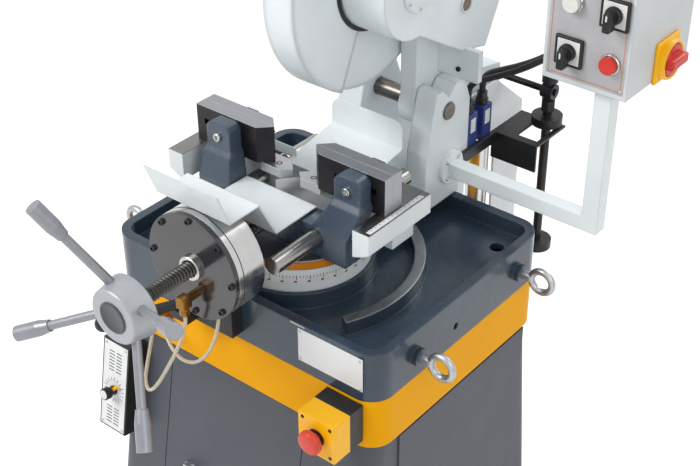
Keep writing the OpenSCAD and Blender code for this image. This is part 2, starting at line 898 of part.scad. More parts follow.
// Moving carriage, whose jaw supports flare from a lobe down to the beam
module support(x) {
    base = x < 0 ? [-sup_base[1], -sup_base[0]] : sup_base;
    top = rim_z + sup_top_h;
    low = top - sup_lobe;
    h = sup_half;
    c = sup_corner;
    hull() {
        block(base, beam_y, [rim_z + beam_top - sup_base_t, rim_z + beam_top]);
        block([x - h - sup_waist, x + h + sup_waist], [-sup_waist_front, -sup_face], [low - slab, low]);
    }
    hull() {
        block([x - h - sup_waist, x + h + sup_waist], [-sup_waist_front, -sup_face], [low - slab, low]);
        block([x - h, x + h], [-sup_front, -sup_face], [low + sup_waist, low + c]);
    }
    front([-sup_front, -sup_face], [[x - h, low], [x + h, low], [x + h, top - c], [x + h - c / 2, top - c / 4],
        [x + h - c, top], [x - h + c, top], [x - h + c / 2, top - c / 4], [x - h, top - c]]);
}

module vice_carriage() {
    color(dark) difference() {
        union() {
            block([-beam_half, beam_half], beam_y, [disc_top + beam_lift, rim_z + beam_top]);
            support(left_sup_x);
            support(right_sup_x);
        }
        for (s = [-1, 1]) rod_y(s * guide_x, [-rod_back, rod_back], screw_z, rod_d / 2 + run_gap);
        rod_y(0, [beam_y[0] - over, beam_y[0] + screw_tip_len + gap], screw_z, screw_tip_r + run_gap);
    }
}

module vice_screw() {
    color("#55565a") {
        rod_y(0, [-hub_front + cover_t, beam_y[0] - gap], screw_z, screw_d / 2);
        rod_y(0, [beam_y[0] - gap, beam_y[0] + screw_tip_len], screw_z, screw_tip_r);
    }
}

// A spoke's own frame, with Z along the spoke
module at_spoke(k) {
    translate([0, -spoke_y, screw_z]) rotate([0, -spoke_turn - 360 * k / spokes, 0])
        rotate([0, 90, 0]) rotate([spoke_tilt, 0, 0]) children();
}

module handwheel_hub() {
    e = hub_edge;
    color("#b4b8be") difference() {
        translate([0, 0, screw_z]) rotate([90, 0, 0]) rotate_extrude(angle = 360) polygon([[0, hub_back],
            [hub_r - e, hub_back], [hub_r, hub_back + e], [hub_front_r + e, hub_front - e],
            [hub_front_r, hub_front], [0, hub_front]]);
        rod_y(0, [-hub_front + cover_t, 0], screw_z, screw_d / 2);
        for (k = [0:spokes - 1]) at_spoke(k) translate([0, 0, spoke_from]) cylinder(h = hub_r, r = spoke_r);
    }
}

module handwheel_arms() {
    color("#85888d") for (k = [0:spokes - 1]) at_spoke(k) {
        translate([0, 0, spoke_from]) cylinder(h = wheel_r - grip_len - spoke_from, r = spoke_r);
        translate([0, 0, wheel_r - grip_len]) cylinder(h = grip_neck, r1 = grip_neck_r, r2 = grip_r);
        translate([0, 0, wheel_r - grip_len + grip_neck]) cylinder(h = grip_len - grip_neck, r = grip_r);
    }
}

// Column on the turntable
module cheek(x) {
    z = rim_z;
    side(x, [[cheek_front, z + arm_low], [cheek_heel, z + arm_low], [cheek_back, z + col_base_top],
        [cheek_back, z + pivot_z], [pivot_y + 2 * notch_half + notch_half / 2, z + cheek_top],
        [pivot_y + notch_half, z + cheek_top], [pivot_y, z + notch_low], [pivot_y - notch_half, z + cheek_top],
        [pivot_y - 2 * notch_half, z + cheek_top], [cheek_front, z + pivot_z - col_base_top]]);
}

module column() {
    color(white) difference() {
        union() {
            rod_z(0, 0, [rim_z + gap, rim_z + ring_h], ring_r, $fn = 96);
            block([-arm_half, arm_half], arm_y, [rim_z + arm_low, rim_z + ring_h]);
            block([-pad_half, pad_half], pad_y, [rim_z - rail_drop + gap, rim_z + arm_low]);
            block(col_x, col_base_y, [rim_z + arm_low, rim_z + col_base_top]);
            cheek(left_cheek);
            cheek(right_cheek);
        }
        rod_z(0, 0, [rim_z - over, rim_z + ring_h + over], post_r + run_gap);
        rod_x([col_x[0] - over, col_x[1] + over], pivot_y, rim_z + pivot_z, pivot_d / 2);
    }
}

module pivot_shaft() {
    color(steel) rod_x([col_x[0] - shaft_proud, col_x[1] + shaft_proud], pivot_y, rim_z + pivot_z, pivot_d / 2);
}

module panel_arm() {
    y = [arm_y_mid - arm_tube / 2, arm_y_mid + arm_tube / 2];
    z = [rim_z + arm_z - arm_tube / 2, rim_z + arm_z + arm_tube / 2];
    color(white) {
        rod_x([col_x[1], col_x[1] + flange_t], arm_y_mid, rim_z + arm_z, flange_r);
        block([col_x[1] + flange_t, post_x[1]], y, z);
        block(post_x, y, [z[1], rim_z + box_z]);
    }
}

module control_box() {
    x = [box_x, box_x + box_w];
    y = [box_front, box_front + box_d];
    z = [rim_z + box_z, rim_z + box_z + box_h];
    w = box_wall;
    color("#d5d8da") difference() {
        block(x, y, z);
        block([x[0] + w, x[1] - w], [y[0] + w, y[1] - w], [z[0] + w, z[1] - w]);
        for (p = [start_at, stop_at, mode_at, pump_sw_at])
            rod_y(p[0], [y[0] - over, y[0] + over], rim_z + p[1], stem_r + run_gap);
        rod_x([x[1] - over, x[1] + over], main_at[0], rim_z + main_at[1], stem_r + run_gap);
    }
}

module push_button(p, shade) {
    out = button_press + gap;
    color(shade) {
        rod_y(p[0], [box_front - out - button_t, box_front - out], rim_z + p[1], button_r);
        rod_y(p[0], [box_front - out, box_front + stem_in], rim_z + p[1], stem_r);
    }
}

module rotary_switch(p) {
    k = knob_size;
    color(black) {
        rod_y(p[0], [box_front - knob_stem_out, box_front + stem_in], rim_z + p[1], stem_r);
        block([p[0] - k[0] / 2, p[0] + k[0] / 2], [box_front - knob_stem_out - k[1], box_front - knob_stem_out],
            [rim_z + p[1] - k[2] / 2, rim_z + p[1] + k[2] / 2]);
    }
}

module start_button() { push_button(start_at, "white"); }

module stop_button() { push_button(stop_at, "red"); }

module mode_switch() { rotary_switch(mode_at); }

module pump_switch() { rotary_switch(pump_sw_at); }

module main_switch() {
    x = box_x + box_w;
    k = main_knob;
    color("red") {
        rod_x([x - stem_in, x + main_stem_out], main_at[0], rim_z + main_at[1], stem_r);
        block([x + main_stem_out, x + main_stem_out + k[0]], [main_at[0] - k[1] / 2, main_at[0] + k[1] / 2],
            [rim_z + main_at[1] - k[2] / 2, rim_z + main_at[1] + k[2] / 2]);
    }
}

// Limit switches, their bracket and cables
module limit_switches() {
    s = sw_size;
    x = [fork_x[0] - s[0], fork_x[0]];
    z = rim_z + sw_z;
    for (y = sw_y) {
        color("#2b3b7d") block(x, [y, y + s[1]], [z, z + s[2]]);
        color(black) rod_z(x[0] + s[0] / 2, y + s[1] / 2, [z + s[2], z + s[2] + gland_h], gland_r);
    }
}

module switch_bracket() {
    color(black) difference() {
        union() {
            block([fork_x[0], fork_x[0] + brk_t], brk_y, [rim_z + brk_z[0], rim_z + brk_z[1]]);
            block(fork_x, [fork_y[0], fork_y[0] + fork_t], [rim_z + fork_skirt, rim_z + brk_z[1]]);
            block(fork_x, fork_y, [rim_z + brk_z[1] - fork_t, rim_z + brk_z[1]]);
        }
        block([slot_mid_x - fork_slot_half, slot_mid_x + fork_slot_half], fork_slot_y,
            [rim_z + fork_skirt, rim_z + brk_z[1] + over]);
    }
}

module switch_cable_near() {
    color(black) tube(cable_near_points, cable_d, 10);
}

module switch_cable_far() {
    color(black) tube(cable_far_points, cable_d, 10);
}

// Rear plates with the feed cylinder between them
module rear_plate() {
    z = rim_z;
    outline = [[rear_front, z + rear_up[0]], [rear_front, z + rear_up[1]], [rear_knee, z + rear_up[1]],
        [rear_end[0], z + rear_end[1]], [rear_end[0], z + rear_low], [rear_step, z + rear_low],
        [rear_step, z + rear_up[0]]];
    color(white) difference() {
        union() {
            side(rear_right, outline);
            side(rear_left, outline);
            block([rear_left[1], rear_right[0]], shelf_y, [z + rear_up[0], z + rear_up[0] + shelf_t]);
        }
        rod_z(feed_at[0], feed_at[1], [z, z + rear_up[1]], feed_rod_r + gap);
    }
}

module feed_cylinder() {
    top = rim_z + rear_up[0];
    color(steel) difference() {
        rod_z(feed_at[0], feed_at[1], [rim_z + feed_low_z, top], feed_r);
        rod_z(feed_at[0], feed_at[1], [rim_z + feed_low_z + feed_pad_t, top + over], feed_rod_r + run_gap);
    }
}

module feed_piston() {
    top = rim_z + feed_pad_z;
    color(steel) {
        rod_z(feed_at[0], feed_at[1], [rim_z + feed_low_z + feed_pad_t + gap, top - feed_pad_t], feed_rod_r);
        rod_z(feed_at[0], feed_at[1], [top - feed_pad_t, top], feed_pad_r);
    }
}

module rear_chute() {
    z = rim_z;
    low = rear_chute_low;
    back = rear_chute_back;
    t = rear_chute_t;
    color(white) {
        side(rear_chute_x, [[low[0], z + low[1]], [back[0], z + back[1]],
            [back[0], z + rear_chute_top - rear_chute_r], [back[0] + t, z + rear_chute_top - rear_chute_r],
            [back[0] + t, z + back[1] - t], [low[0], z + low[1] - t]]);
        translate([0, back[0] + t, 0]) rotate([90, 0, 0]) linear_extrude(t)
            rounded(rear_chute_x, [z + rear_chute_top - 2 * rear_chute_r, z + rear_chute_top], rear_chute_r);
        both() block(rear_tab_x, [bar_y, bar_y + t], [z + rear_tab_z[0], z + rear_tab_z[1]]);
    }
}

// Head casting with the worm drive
module gearbox() {
    y = blade_y;
    z = rim_z + blade_z;
    p = rim_z + pivot_z;
    color(white) difference() {
        union() {
            side(gear_x, [for (q = gear_profile) [y + q[0], z + q[1]]]);
            rod_x([neck_x, gear_x[0]], y, z, neck_r);
            rod_x(gear_x, y, z, gear_round);
            rod_x(lug_x, pivot_y, p, lug_r);
            side([gear_x[0], lug_x[1]], [[pivot_y - lug_r, p], [pivot_y + lug_r, p],
                [y + gear_profile[3][0], z + gear_profile[3][1]],
                [y + gear_profile[2][0], z + gear_profile[2][1]],
                [pivot_y - lug_r, z + gear_profile[1][1]]]);
            side(lug_x, [[pivot_y, p + lug_r], [link_at[0], rim_z + link_at[1] + lever_end_r],
                [link_at[0], rim_z + link_at[1] - lever_end_r], [pivot_y, p - lug_r]]);
            rod_x([lug_x[0], link_pin_end], link_at[0], rim_z + link_at[1], link_pin_r);
            block(ear_x, ear_y, [rim_z + ear_z[0], rim_z + ear_z[1]]);
            rod_z(worm_x, worm_y, [z, rim_z + motor_z], motor_neck_r);
        }
        rod_x([lug_x[0] - over, lug_x[1] + over], pivot_y, p, pivot_d / 2 + run_gap);
        rod_x([0, gear_x[1] + over], y, z, shaft_r + run_gap);
        rod_x([gear_slice[0] - cavity_gap, gear_slice[1] + cavity_gap], y, z, wheel_gear_r + cavity_gap);
        rod_z(worm_x, worm_y, [z - worm_half - cavity_gap, z + worm_half + cavity_gap], worm_r + cavity_gap);
        rod_z(worm_x, worm_y, [z, rim_z + motor_z + over], worm_shaft_r + run_gap);
    }
}

module motor() {
    z = rim_z + motor_z;
    color(grey) difference() {
        union() {
            rod_z(worm_x, worm_y, [z, z + motor_len], motor_r);
            block([worm_x, worm_x + motor_r + motor_r / 4], [worm_y - motor_r / 2, worm_y + motor_r / 2],
                [z + motor_len / 3, z + 2 * motor_len / 3]);
        }
        rod_z(worm_x, worm_y, [z - over, z + motor_bore + gap], worm_shaft_r + run_gap);
    }
}

// A wedge of less than half a turn, from an angle measured back from straight down
module wedge(reach, from, sweep) {
    steps = 8;
    polygon(concat([[0, 0]], [for (i = [0:steps])
        2 * reach * [cos(from + sweep * i / steps), sin(from + sweep * i / steps)]]));
}

module ring(inner, outer) {
    difference() {
        circle(outer, $fn = 96);
        circle(inner, $fn = 96);
    }
}

// A plate between two X values, drawn flat about the blade axis
module blade_plate(x) {
    translate([x[0], blade_y, rim_z + blade_z]) rotate([0, 90, 0]) linear_extrude(x[1] - x[0]) children();
}

// A guard with a rim and two walls, before its opening is cut
module guard_shell(half, inner, outer) {
    difference() {
        blade_plate([-half, half]) ring(inner, outer);
        blade_plate([-half + guard_wall, half - guard_wall]) circle(outer - guard_wall, $fn = 96);
    }
}

module rear_guard() {
    outer = blade_d / 2 + guard_tip + guard_wall;
    half = guard_half;
    color(white) {
        difference() {
            guard_shell(half, guard_in, outer);
            blade_plate([-half - over, half + over]) wedge(outer, guard_from + guard_sweep, 360 - guard_sweep);
        }
        blade_plate([-half - left_boss_t, -half + guard_wall / 2]) ring(guard_in + guard_wall, neck_r);
    }
}

// The front guard keeps a full hub ring on each side, so its opening is cut outside that ring
module front_guard() {
    outer = blade_d / 2 + guard_tip + 2 * guard_wall + guard_tip / 2;
    inner = neck_r + run_gap;
    open = 360 - front_sweep;
    start = front_from + front_sweep;
    color(white) difference() {
        guard_shell(front_half, inner, outer);
        for (from = [start, start + open * (1 - cut_share)])
            blade_plate([-front_half - over, front_half + over]) difference() {
                wedge(outer, from, open * cut_share);
                circle(inner + front_ring_w, $fn = 96);
            }
    }
}

module blade() {
    r = blade_d / 2;
    color("#9a9ca0") translate([-blade_t / 2, blade_y, rim_z + blade_z]) rotate([0, 90, 0]) difference() {
        linear_extrude(blade_t) polygon([for (i = [0:teeth - 1]) each
            [r * [cos(360 * i / teeth), sin(360 * i / teeth)],
            (r - tooth_h) * [cos(360 * (i + 0.2) / teeth), sin(360 * (i + 0.2) / teeth)]]]);
        translate([0, 0, -over]) cylinder(h = blade_t + 2 * over, r = shaft_r);
    }
}

module spindle() {
    b = blade_t / 2;
    y = blade_y;
    z = rim_z + blade_z;
    color(steel) {
        rod_x([-b - flange_disc_t, gear_x[1]], y, z, shaft_r);
        rod_x([-b - flange_disc_t, -b], y, z, flange_disc_r);
        rod_x([b, b + flange_disc_t], y, z, flange_disc_r);
        rod_x(gear_slice, y, z, wheel_gear_r);
    }
}

module worm_shaft() {
    z = rim_z + blade_z;
    color(steel) {
        rod_z(worm_x, worm_y, [z - worm_half, z + worm_half], worm_r);
        rod_z(worm_x, worm_y, [z + worm_half, rim_z + motor_z + motor_bore], worm_shaft_r);
    }
}

// Stop rod that hangs from the head's link pin through the slotted bracket
module stop_rod() {
    x = (link_x[0] + link_x[1]) / 2;
    z = rim_z;
    fork = z + brk_z[1] + disc_gap;
    color(black) difference() {
        union() {
            rod_x(link_x, link_at[0], z + link_at[1], link_eye_r);
            rod_z(x, link_at[0], [z + rod_low, z + rod_high], rod_r);
            rod_z(x, link_at[0], [z + collar_z[0], z + collar_z[1]], collar_r);
            rod_z(x, link_at[0], [fork, fork + stop_disc_t], stop_disc_r);
            rod_z(x, link_at[0], [z + low_disc_z, z + low_disc_z + stop_disc_t], stop_disc_r);
            translate([x, link_at[0], z + nut_hex_z[0]])
                cylinder(h = nut_hex_z[1] - nut_hex_z[0], r = nut_hex_r, $fn = 6);
        }
        rod_x([link_x[0] - over, link_x[1] + over], link_at[0], z + link_at[1], link_pin_r + run_gap);
    }
}

floor_plate();
cabinet();
cabinet_band();
tray_casting();
lifting_eyes();
side_panel();
cabinet_door();
door_latch();
coolant_tank();
coolant_pump();
estop_base();
estop_lid();
estop_button();
feed_box();
feed_knob();
swivel_lever();
bed_plate();
accent_ring();
bed_arms();
slot_inserts();
guide_rods();
rear_jaw_supports();
rear_jaw_plates();
cylinder_bracket();
vice_cylinder();
cylinder_cover();
hose_fittings();
air_hose_front();
air_hose_rear();
front_chute();
vice_carriage();
front_jaw_plates();
vice_screw();
handwheel_hub();
handwheel_arms();
column();
pivot_shaft();
panel_arm();
control_box();
limit_switches();
switch_bracket();
rear_plate();
rear_chute();
feed_cylinder();
feed_piston();
switch_cable_near();
switch_cable_far();
start_button();
stop_button();
mode_switch();
pump_switch();
main_switch();
gearbox();
motor();
rear_guard();
front_guard();
blade();
spindle();
worm_shaft();
stop_rod();
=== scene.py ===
# Cold saw on its stand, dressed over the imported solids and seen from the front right.
# Lengths in the tables are millimetres from the floor below the turntable axis, +X right, +Y back, +Z up.
import math

import bmesh
import bpy
from mathutils import Euler, Matrix, Vector


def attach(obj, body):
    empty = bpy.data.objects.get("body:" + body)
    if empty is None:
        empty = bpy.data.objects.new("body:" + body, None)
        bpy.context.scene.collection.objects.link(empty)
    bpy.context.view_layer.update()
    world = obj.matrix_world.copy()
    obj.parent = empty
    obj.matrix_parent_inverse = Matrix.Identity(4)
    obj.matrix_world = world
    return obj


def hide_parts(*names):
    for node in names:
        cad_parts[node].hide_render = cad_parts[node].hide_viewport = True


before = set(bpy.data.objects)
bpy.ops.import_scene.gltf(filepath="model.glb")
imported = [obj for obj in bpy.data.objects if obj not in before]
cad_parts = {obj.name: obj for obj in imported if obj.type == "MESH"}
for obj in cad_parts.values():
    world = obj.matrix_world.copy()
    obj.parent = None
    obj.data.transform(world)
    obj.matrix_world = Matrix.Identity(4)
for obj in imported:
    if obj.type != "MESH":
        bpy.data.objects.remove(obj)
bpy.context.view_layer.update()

MM = 0.001
# Points that are closer than this, in metres, are one point
MERGE = 1e-6

# Places on the saw that its dressing is set out from
RIM = 790.0
BED_TOP = RIM + 145.0
SCREW_Z = RIM + 92.0
COVER_FACE_Y = -233.0
COVER_SCREW_CIRCLE = 79.0
HUB_FACE_Y = -388.0
FITTING_AT = (2.0, -257.0)
CABINET_FOOT = (-259.0, 7.0)
FRONT_TILT = math.atan(118.0 / 605.0)
FEED_X = -249.0
FEED_BOX_Z = 412.0
FEED_FRAME_OUT = 42.0
FEED_UP = 80.0
FEED_DIAL_Z = 498.7
ESTOP_FACE = (216.0, -216.0, RIM - 128.0)
PANEL_X = (284.0, 413.0)
PANEL_Z = (RIM + 310.0, RIM + 504.0)
PANEL_BOX_Y = 240.0
PANEL_FACE_Y = 239.75
PANEL_SCREW_IN = 6.0
PANEL_LEFT, PANEL_RIGHT = 322.0, 389.0
PANEL_UPPER, PANEL_LOWER = RIM + 432.0, RIM + 355.0
ISOLATOR_AT = (349.0, RIM + 332.0)
FLANGE_AT = (108.0, 269.5, RIM + 64.0)
HEAD_SIDE_X = 110.0
BLADE_AXIS = (155.0, RIM + 423.0)
OIL_WINDOW_AT = (HEAD_SIDE_X, 283.0, RIM + 354.0)
PIVOT_END = (102.0, 262.0, RIM + 171.0)
MOTOR_AXIS = (65.0, 242.4)
LIMIT_SWITCH_X = 87.5
LIMIT_SWITCH_Y = (336.5, 378.5)
GLAND_Z = RIM + 133.0

# How a turned piece's axis lies, and the side of a plate that faces the eye
FACING = {
    "front": Euler((math.pi / 2, 0, 0)),
    "right": Euler((0, math.pi / 2, 0)),
    "up": Euler((0, 0, 0)),
    "slope": Euler((math.pi / 2 - FRONT_TILT, 0, 0)),
}
FRONT_SIDE = (0, -1, 0)
RIGHT_SIDE = (1, 0, 0)

# Camera at the photograph's place, angle and lens
CAMERA_PLACE = (1.1863, -1.3337, 2.0181)
CAMERA_AZIMUTH, CAMERA_ELEVATION, CAMERA_ROLL = 39.0, 33.93, -0.23
CAMERA_LENS, CAMERA_SENSOR = 69.63, 36.0


def place_camera():
    bpy.ops.object.select_all(action="DESELECT")
    bpy.ops.object.camera_add()
    camera = bpy.context.object
    camera.name = "photo_camera"
    camera.data.sensor_fit = "HORIZONTAL"
    camera.data.sensor_width = CAMERA_SENSOR
    camera.data.lens = CAMERA_LENS
    turn = (Matrix.Rotation(math.radians(CAMERA_AZIMUTH), 4, "Z")
            @ Matrix.Rotation(math.radians(90 - CAMERA_ELEVATION), 4, "X")
            @ Matrix.Rotation(math.radians(CAMERA_ROLL), 4, "Z"))
    camera.matrix_world = Matrix.Translation(CAMERA_PLACE) @ turn
    bpy.context.scene.camera = camera


place_camera()

# Hose and cable routes, from where each leaves its fitting to where it goes back in
HOSE_FRONT = [
    (2, -257, 811), (2, -257, 798), (-2, -257, 785), (-10, -256, 760), (-22, -255, 736), (-29, -258, 718),
    (-36, -265, 699), (-46, -272, 675), (-55, -277, 658), (-68, -277, 643), (-81, -273, 637),
    (-93, -265, 642), (-106, -249, 650), (-120, -229, 659), (-137, -206, 667), (-153, -186, 671),
    (-167, -172, 672), (-172, -166, 672), (-172, -163, 672)]
HOSE_REAR = [
    (11, -198, 783), (11, -198, 772), (8, -198, 756), (3, -199, 735), (-5, -200, 714), (-15, -201, 695),
    (-27, -202, 678), (-42, -203, 664), (-58, -203, 656), (-76, -202, 653), (-94, -198, 655),
    (-110, -193, 660), (-124, -186, 666), (-137, -178, 670), (-147, -170, 672),
    (-152, -166, 672), (-152, -163, 672)]
CABLE_NEAR = [
    (87.5, 336.5, 945), (87.5, 336.5, 956), (89, 336.2, 966), (93.5, 335.4, 975), (101, 334.1, 983),
    (112, 332.2, 991), (126, 329.7, 999.5), (140, 327.3, 1008), (155, 324.7, 1017), (170, 322.1, 1026.5),
    (185, 319.4, 1036.5), (200, 316.8, 1047), (214, 314.4, 1057.5), (227, 312.1, 1067.8), (239, 310, 1077),
    (249, 308.3, 1084.3), (258, 306.9, 1091), (265, 306.2, 1095.2), (272, 306, 1098.2), (279, 306, 1098.2)]
CABLE_FAR = [
    (87.5, 378.5, 945), (87.5, 378.5, 956), (89, 378.1, 966), (93.5, 377, 975), (101, 375, 983),
    (112, 372.3, 991), (126, 368.7, 999.5), (140, 365.2, 1008), (155, 361.4, 1017), (170, 357.6, 1026.5),
    (185, 353.8, 1036.5), (200, 350, 1047), (214, 346.5, 1057.5), (227, 343.2, 1067.8), (239, 340.3, 1077),
    (249, 337.9, 1084.3), (258, 336, 1091), (265, 335, 1095.2), (272, 334.4, 1098.2), (279, 334.4, 1098.2)]
HOSE_DIAMETER, CABLE_DIAMETER = 6, 11


def lay_cord(name, route, diameter, node, body):
    points = [Vector(p) * MM for p in route]
    curve = bpy.data.curves.new(name, "CURVE")
    curve.dimensions = "3D"
    curve.resolution_u = 6
    # With a bevel of one metre, each point's radius is the cord's own radius, and the box round it is true
    curve.bevel_depth = 1
    curve.bevel_resolution = 4
    curve.use_fill_caps = True
    line = curve.splines.new("BEZIER")
    line.bezier_points.add(len(points) - 1)
    for knot, point in zip(line.bezier_points, points):
        knot.co = point
        knot.radius = diameter * MM / 2
        knot.handle_left_type = "AUTO"
        knot.handle_right_type = "AUTO"
    piece = bpy.data.objects.new(name, curve)
    bpy.context.scene.collection.objects.link(piece)
    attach(piece, body)
    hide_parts(node)
    return piece


front_hose = lay_cord("front_air_hose", HOSE_FRONT, HOSE_DIAMETER, "air_hose_front", "base")
rear_hose = lay_cord("rear_air_hose", HOSE_REAR, HOSE_DIAMETER, "air_hose_rear", "base")
near_cable = lay_cord("near_switch_cable", CABLE_NEAR, CABLE_DIAMETER, "switch_cable_near", "turntable")
far_cable = lay_cord("far_switch_cable", CABLE_FAR, CABLE_DIAMETER, "switch_cable_far", "turntable")


# Materials
def linear(colour):
    parts = [int(colour[i:i + 2], 16) / 255 for i in (1, 3, 5)]
    return tuple(c / 12.92 if c <= 0.04045 else ((c + 0.055) / 1.055) ** 2.4 for c in parts) + (1.0,)


def add(tree, kind, settings=None, inputs=None):
    """Adds a node with its settings, and links or sets its inputs."""
    made = tree.nodes.new(kind)
    for name, value in (settings or {}).items():
        setattr(made, name, value)
    for name, value in (inputs or {}).items():
        if isinstance(value, bpy.types.NodeSocket):
            tree.links.new(value, made.inputs[name])
        else:
            made.inputs[name].default_value = value
    return made


def socket_title(word):
    return word.replace("_", " ").title().replace("Ior", "IOR")


def start_material(name, **sockets):
    """A new material with its even values on the shader, and the place on the piece that patterns read."""
    made = bpy.data.materials.new(name)
    made.use_nodes = True
    tree = made.node_tree
    shader = tree.nodes["Principled BSDF"]
    for word, value in sockets.items():
        shader.inputs[socket_title(word)].default_value = value
    where = add(tree, "ShaderNodeTexCoord").outputs["Object"]
    return made, tree, shader, where


def join(tree, shader, **sockets):
    for word, source in sockets.items():
        tree.links.new(source, shader.inputs[socket_title(word)])


def between(tree, factor, low, high):
    """A tint that runs from one to another, each an sRGB hex colour or a tint made before."""
    low, high = (linear(tint) if isinstance(tint, str) else tint for tint in (low, high))
    return add(tree, "ShaderNodeMix", {"data_type": "RGBA"}, {0: factor, 6: low, 7: high}).outputs[2]


def cells(tree, where, size, detail=2.0, stretch=None):
    """A noise whose features are about size millimetres, pulled out along the axes with a small stretch."""
    if stretch:
        where = add(tree, "ShaderNodeMapping", {"vector_type": "POINT"},
                    {"Vector": where, "Scale": stretch}).outputs["Vector"]
    return add(tree, "ShaderNodeTexNoise", None, {"Vector": where, "Scale": 1 / (size * MM), "Detail": detail,
                                                  "Roughness": 0.55}).outputs["Fac"]


def spread(tree, source, low=0.0, high=1.0):
    """Widens the range that a noise keeps to, so that it runs from low to high."""
    return add(tree, "ShaderNodeMapRange", None, {"Value": source, "From Min": 0.3, "From Max": 0.7,
                                                  "To Min": low, "To Max": high}).outputs["Result"]


def relief(tree, height, strength, depth, edge):
    """A bump over edges that are broken to a small radius."""
    worn = add(tree, "ShaderNodeBevel", {"samples": 6}, {"Radius": edge * MM}).outputs["Normal"]
    return add(tree, "ShaderNodeBump", None, {"Height": height, "Strength": strength, "Distance": depth * MM,
                                              "Normal": worn}).outputs["Normal"]


def masked(tree, where, mask):
    """A mask of the place on the piece, given its distances along the three axes."""
    return mask(tree, *add(tree, "ShaderNodeSeparateXYZ", None, {0: where}).outputs)


def both(tree, first, second):
    """One where two masks are both one."""
    return add(tree, "ShaderNodeMath", {"operation": "MULTIPLY"}, {0: first, 1: second}).outputs[0]


def either(tree, first, second):
    """One where at least one of two masks is one."""
    return add(tree, "ShaderNodeMath", {"operation": "MAXIMUM"}, {0: first, 1: second}).outputs[0]


def past(tree, source, level):
    """One where a distance is more than a level in millimetres."""
    return add(tree, "ShaderNodeMath", {"operation": "GREATER_THAN"}, {0: source, 1: level * MM}).outputs[0]


def short_of(tree, source, level):
    """One where a distance is less than a level in millimetres."""
    return add(tree, "ShaderNodeMath", {"operation": "LESS_THAN"}, {0: source, 1: level * MM}).outputs[0]


def within(tree, source, low, high):
    """One where a distance lies between two levels in millimetres."""
    return both(tree, past(tree, source, low), short_of(tree, source, high))


def from_centre(tree, source, centre):
    """The distance from a centre in millimetres, to either side."""
    off = add(tree, "ShaderNodeMath", {"operation": "SUBTRACT"}, {0: source, 1: centre * MM}).outputs[0]
    return add(tree, "ShaderNodeMath", {"operation": "ABSOLUTE"}, {0: off}).outputs[0]


def bearing(tree, across, along):
    """The angle round a centre, in degrees."""
    turn = add(tree, "ShaderNodeMath", {"operation": "ARCTAN2"}, {0: across, 1: along}).outputs[0]
    return add(tree, "ShaderNodeMath", {"operation": "DEGREES"}, {0: turn}).outputs[0]


def ticks(tree, source, step, share):
    """One at the start of each step, for a share of the step."""
    steps = add(tree, "ShaderNodeMath", {"operation": "DIVIDE"}, {0: source, 1: step}).outputs[0]
    part = add(tree, "ShaderNodeMath", {"operation": "FRACT"}, {0: steps}).outputs[0]
    return add(tree, "ShaderNodeMath", {"operation": "LESS_THAN"}, {0: part, 1: share}).outputs[0]


def sprayed(name, colour, shade, rough, peel=2.2, depth=0.05, edge=2.0, coat=0.0, bare=None,
            bare_tint=("#8b8d90", "#a9abad"), shine=0.32):
    """Paint sprayed on metal: a faint cloud of shade, orange peel, soft edges, and bare metal where asked.

    Real orange peel is a millimetre or two wide. It is drawn as coarse as it needs to show on each piece.
    """
    made, tree, shader, where = start_material(name, roughness=rough, coat_weight=coat, coat_roughness=0.15,
                                               specular_ior_level=shine)
    tint = between(tree, spread(tree, cells(tree, where, 90)), colour, shade)
    skin = cells(tree, where, peel)
    gloss = spread(tree, skin, rough - 0.06, rough + 0.06)
    if bare:
        mask = masked(tree, where, bare)
        lay = spread(tree, cells(tree, where, 1.6, 3.0, (1.0, 0.08, 1.0)))
        tint = between(tree, mask, tint, between(tree, lay, *bare_tint))
        ground = spread(tree, lay, 0.3, 0.42)
        gloss = add(tree, "ShaderNodeMix", None, {0: mask, 2: gloss, 3: ground}).outputs[0]
        join(tree, shader, metallic=mask)
    join(tree, shader, base_color=tint, roughness=gloss, normal=relief(tree, skin, 0.35, depth, edge))
    return made


def worked(name, colour, shade, rough, lay=1.2, stretch=None, depth=0.02, edge=0.8, metallic=1.0, top=None,
           top_tint=("#96979d", "#a6a7ac")):
    """Metal that a tool has passed over: lines along its lay, shade, broken edges, a paler top where asked.

    Real tool lines are some tenths of a millimetre apart. They are drawn as coarse as they need to show.
    """
    made, tree, shader, where = start_material(name, metallic=metallic, roughness=rough)
    lines = cells(tree, where, lay, 3.0, stretch)
    line_share = 0.6
    lined = add(tree, "ShaderNodeMath", {"operation": "MULTIPLY"}, {0: lines, 1: line_share}).outputs[0]
    mixed = add(tree, "ShaderNodeMath", {"operation": "MULTIPLY_ADD"},
                {0: cells(tree, where, 30), 1: 1 - line_share, 2: lined}).outputs[0]
    tint = between(tree, spread(tree, mixed), colour, shade)
    if top:
        tint = between(tree, masked(tree, where, top), tint, between(tree, lines, *top_tint))
    join(tree, shader, base_color=tint, roughness=spread(tree, lines, rough - 0.05, rough + 0.05),
         normal=relief(tree, lines, 0.3, depth, edge))
    return made


def moulded(name, colour, shade, rough, grain=1.0, depth=0.03, edge=1.2):
    """Moulded plastic or rubber: even tint, rounded edges, a mould's grain drawn coarse enough to show."""
    made, tree, shader, where = start_material(name, roughness=rough, specular_ior_level=0.35)
    grit = cells(tree, where, grain)
    tint = between(tree, spread(tree, cells(tree, where, 25)), colour, shade)
    join(tree, shader, base_color=tint, roughness=spread(tree, grit, rough - 0.05, rough + 0.05),
         normal=relief(tree, grit, 0.25, depth, edge))
    return made


def printed(name, ground, ink, marks):
    """A pale printed strip: its marks come from a mask in millimetres, on a faintly uneven ground."""
    made, tree, shader, where = start_material(name, roughness=0.35)
    base = between(tree, spread(tree, cells(tree, where, 20)), *ground)
    join(tree, shader, base_color=between(tree, masked(tree, where, marks), base, ink),
         normal=relief(tree, cells(tree, where, 2), 0.15, 0.02, 0.4))
    return made


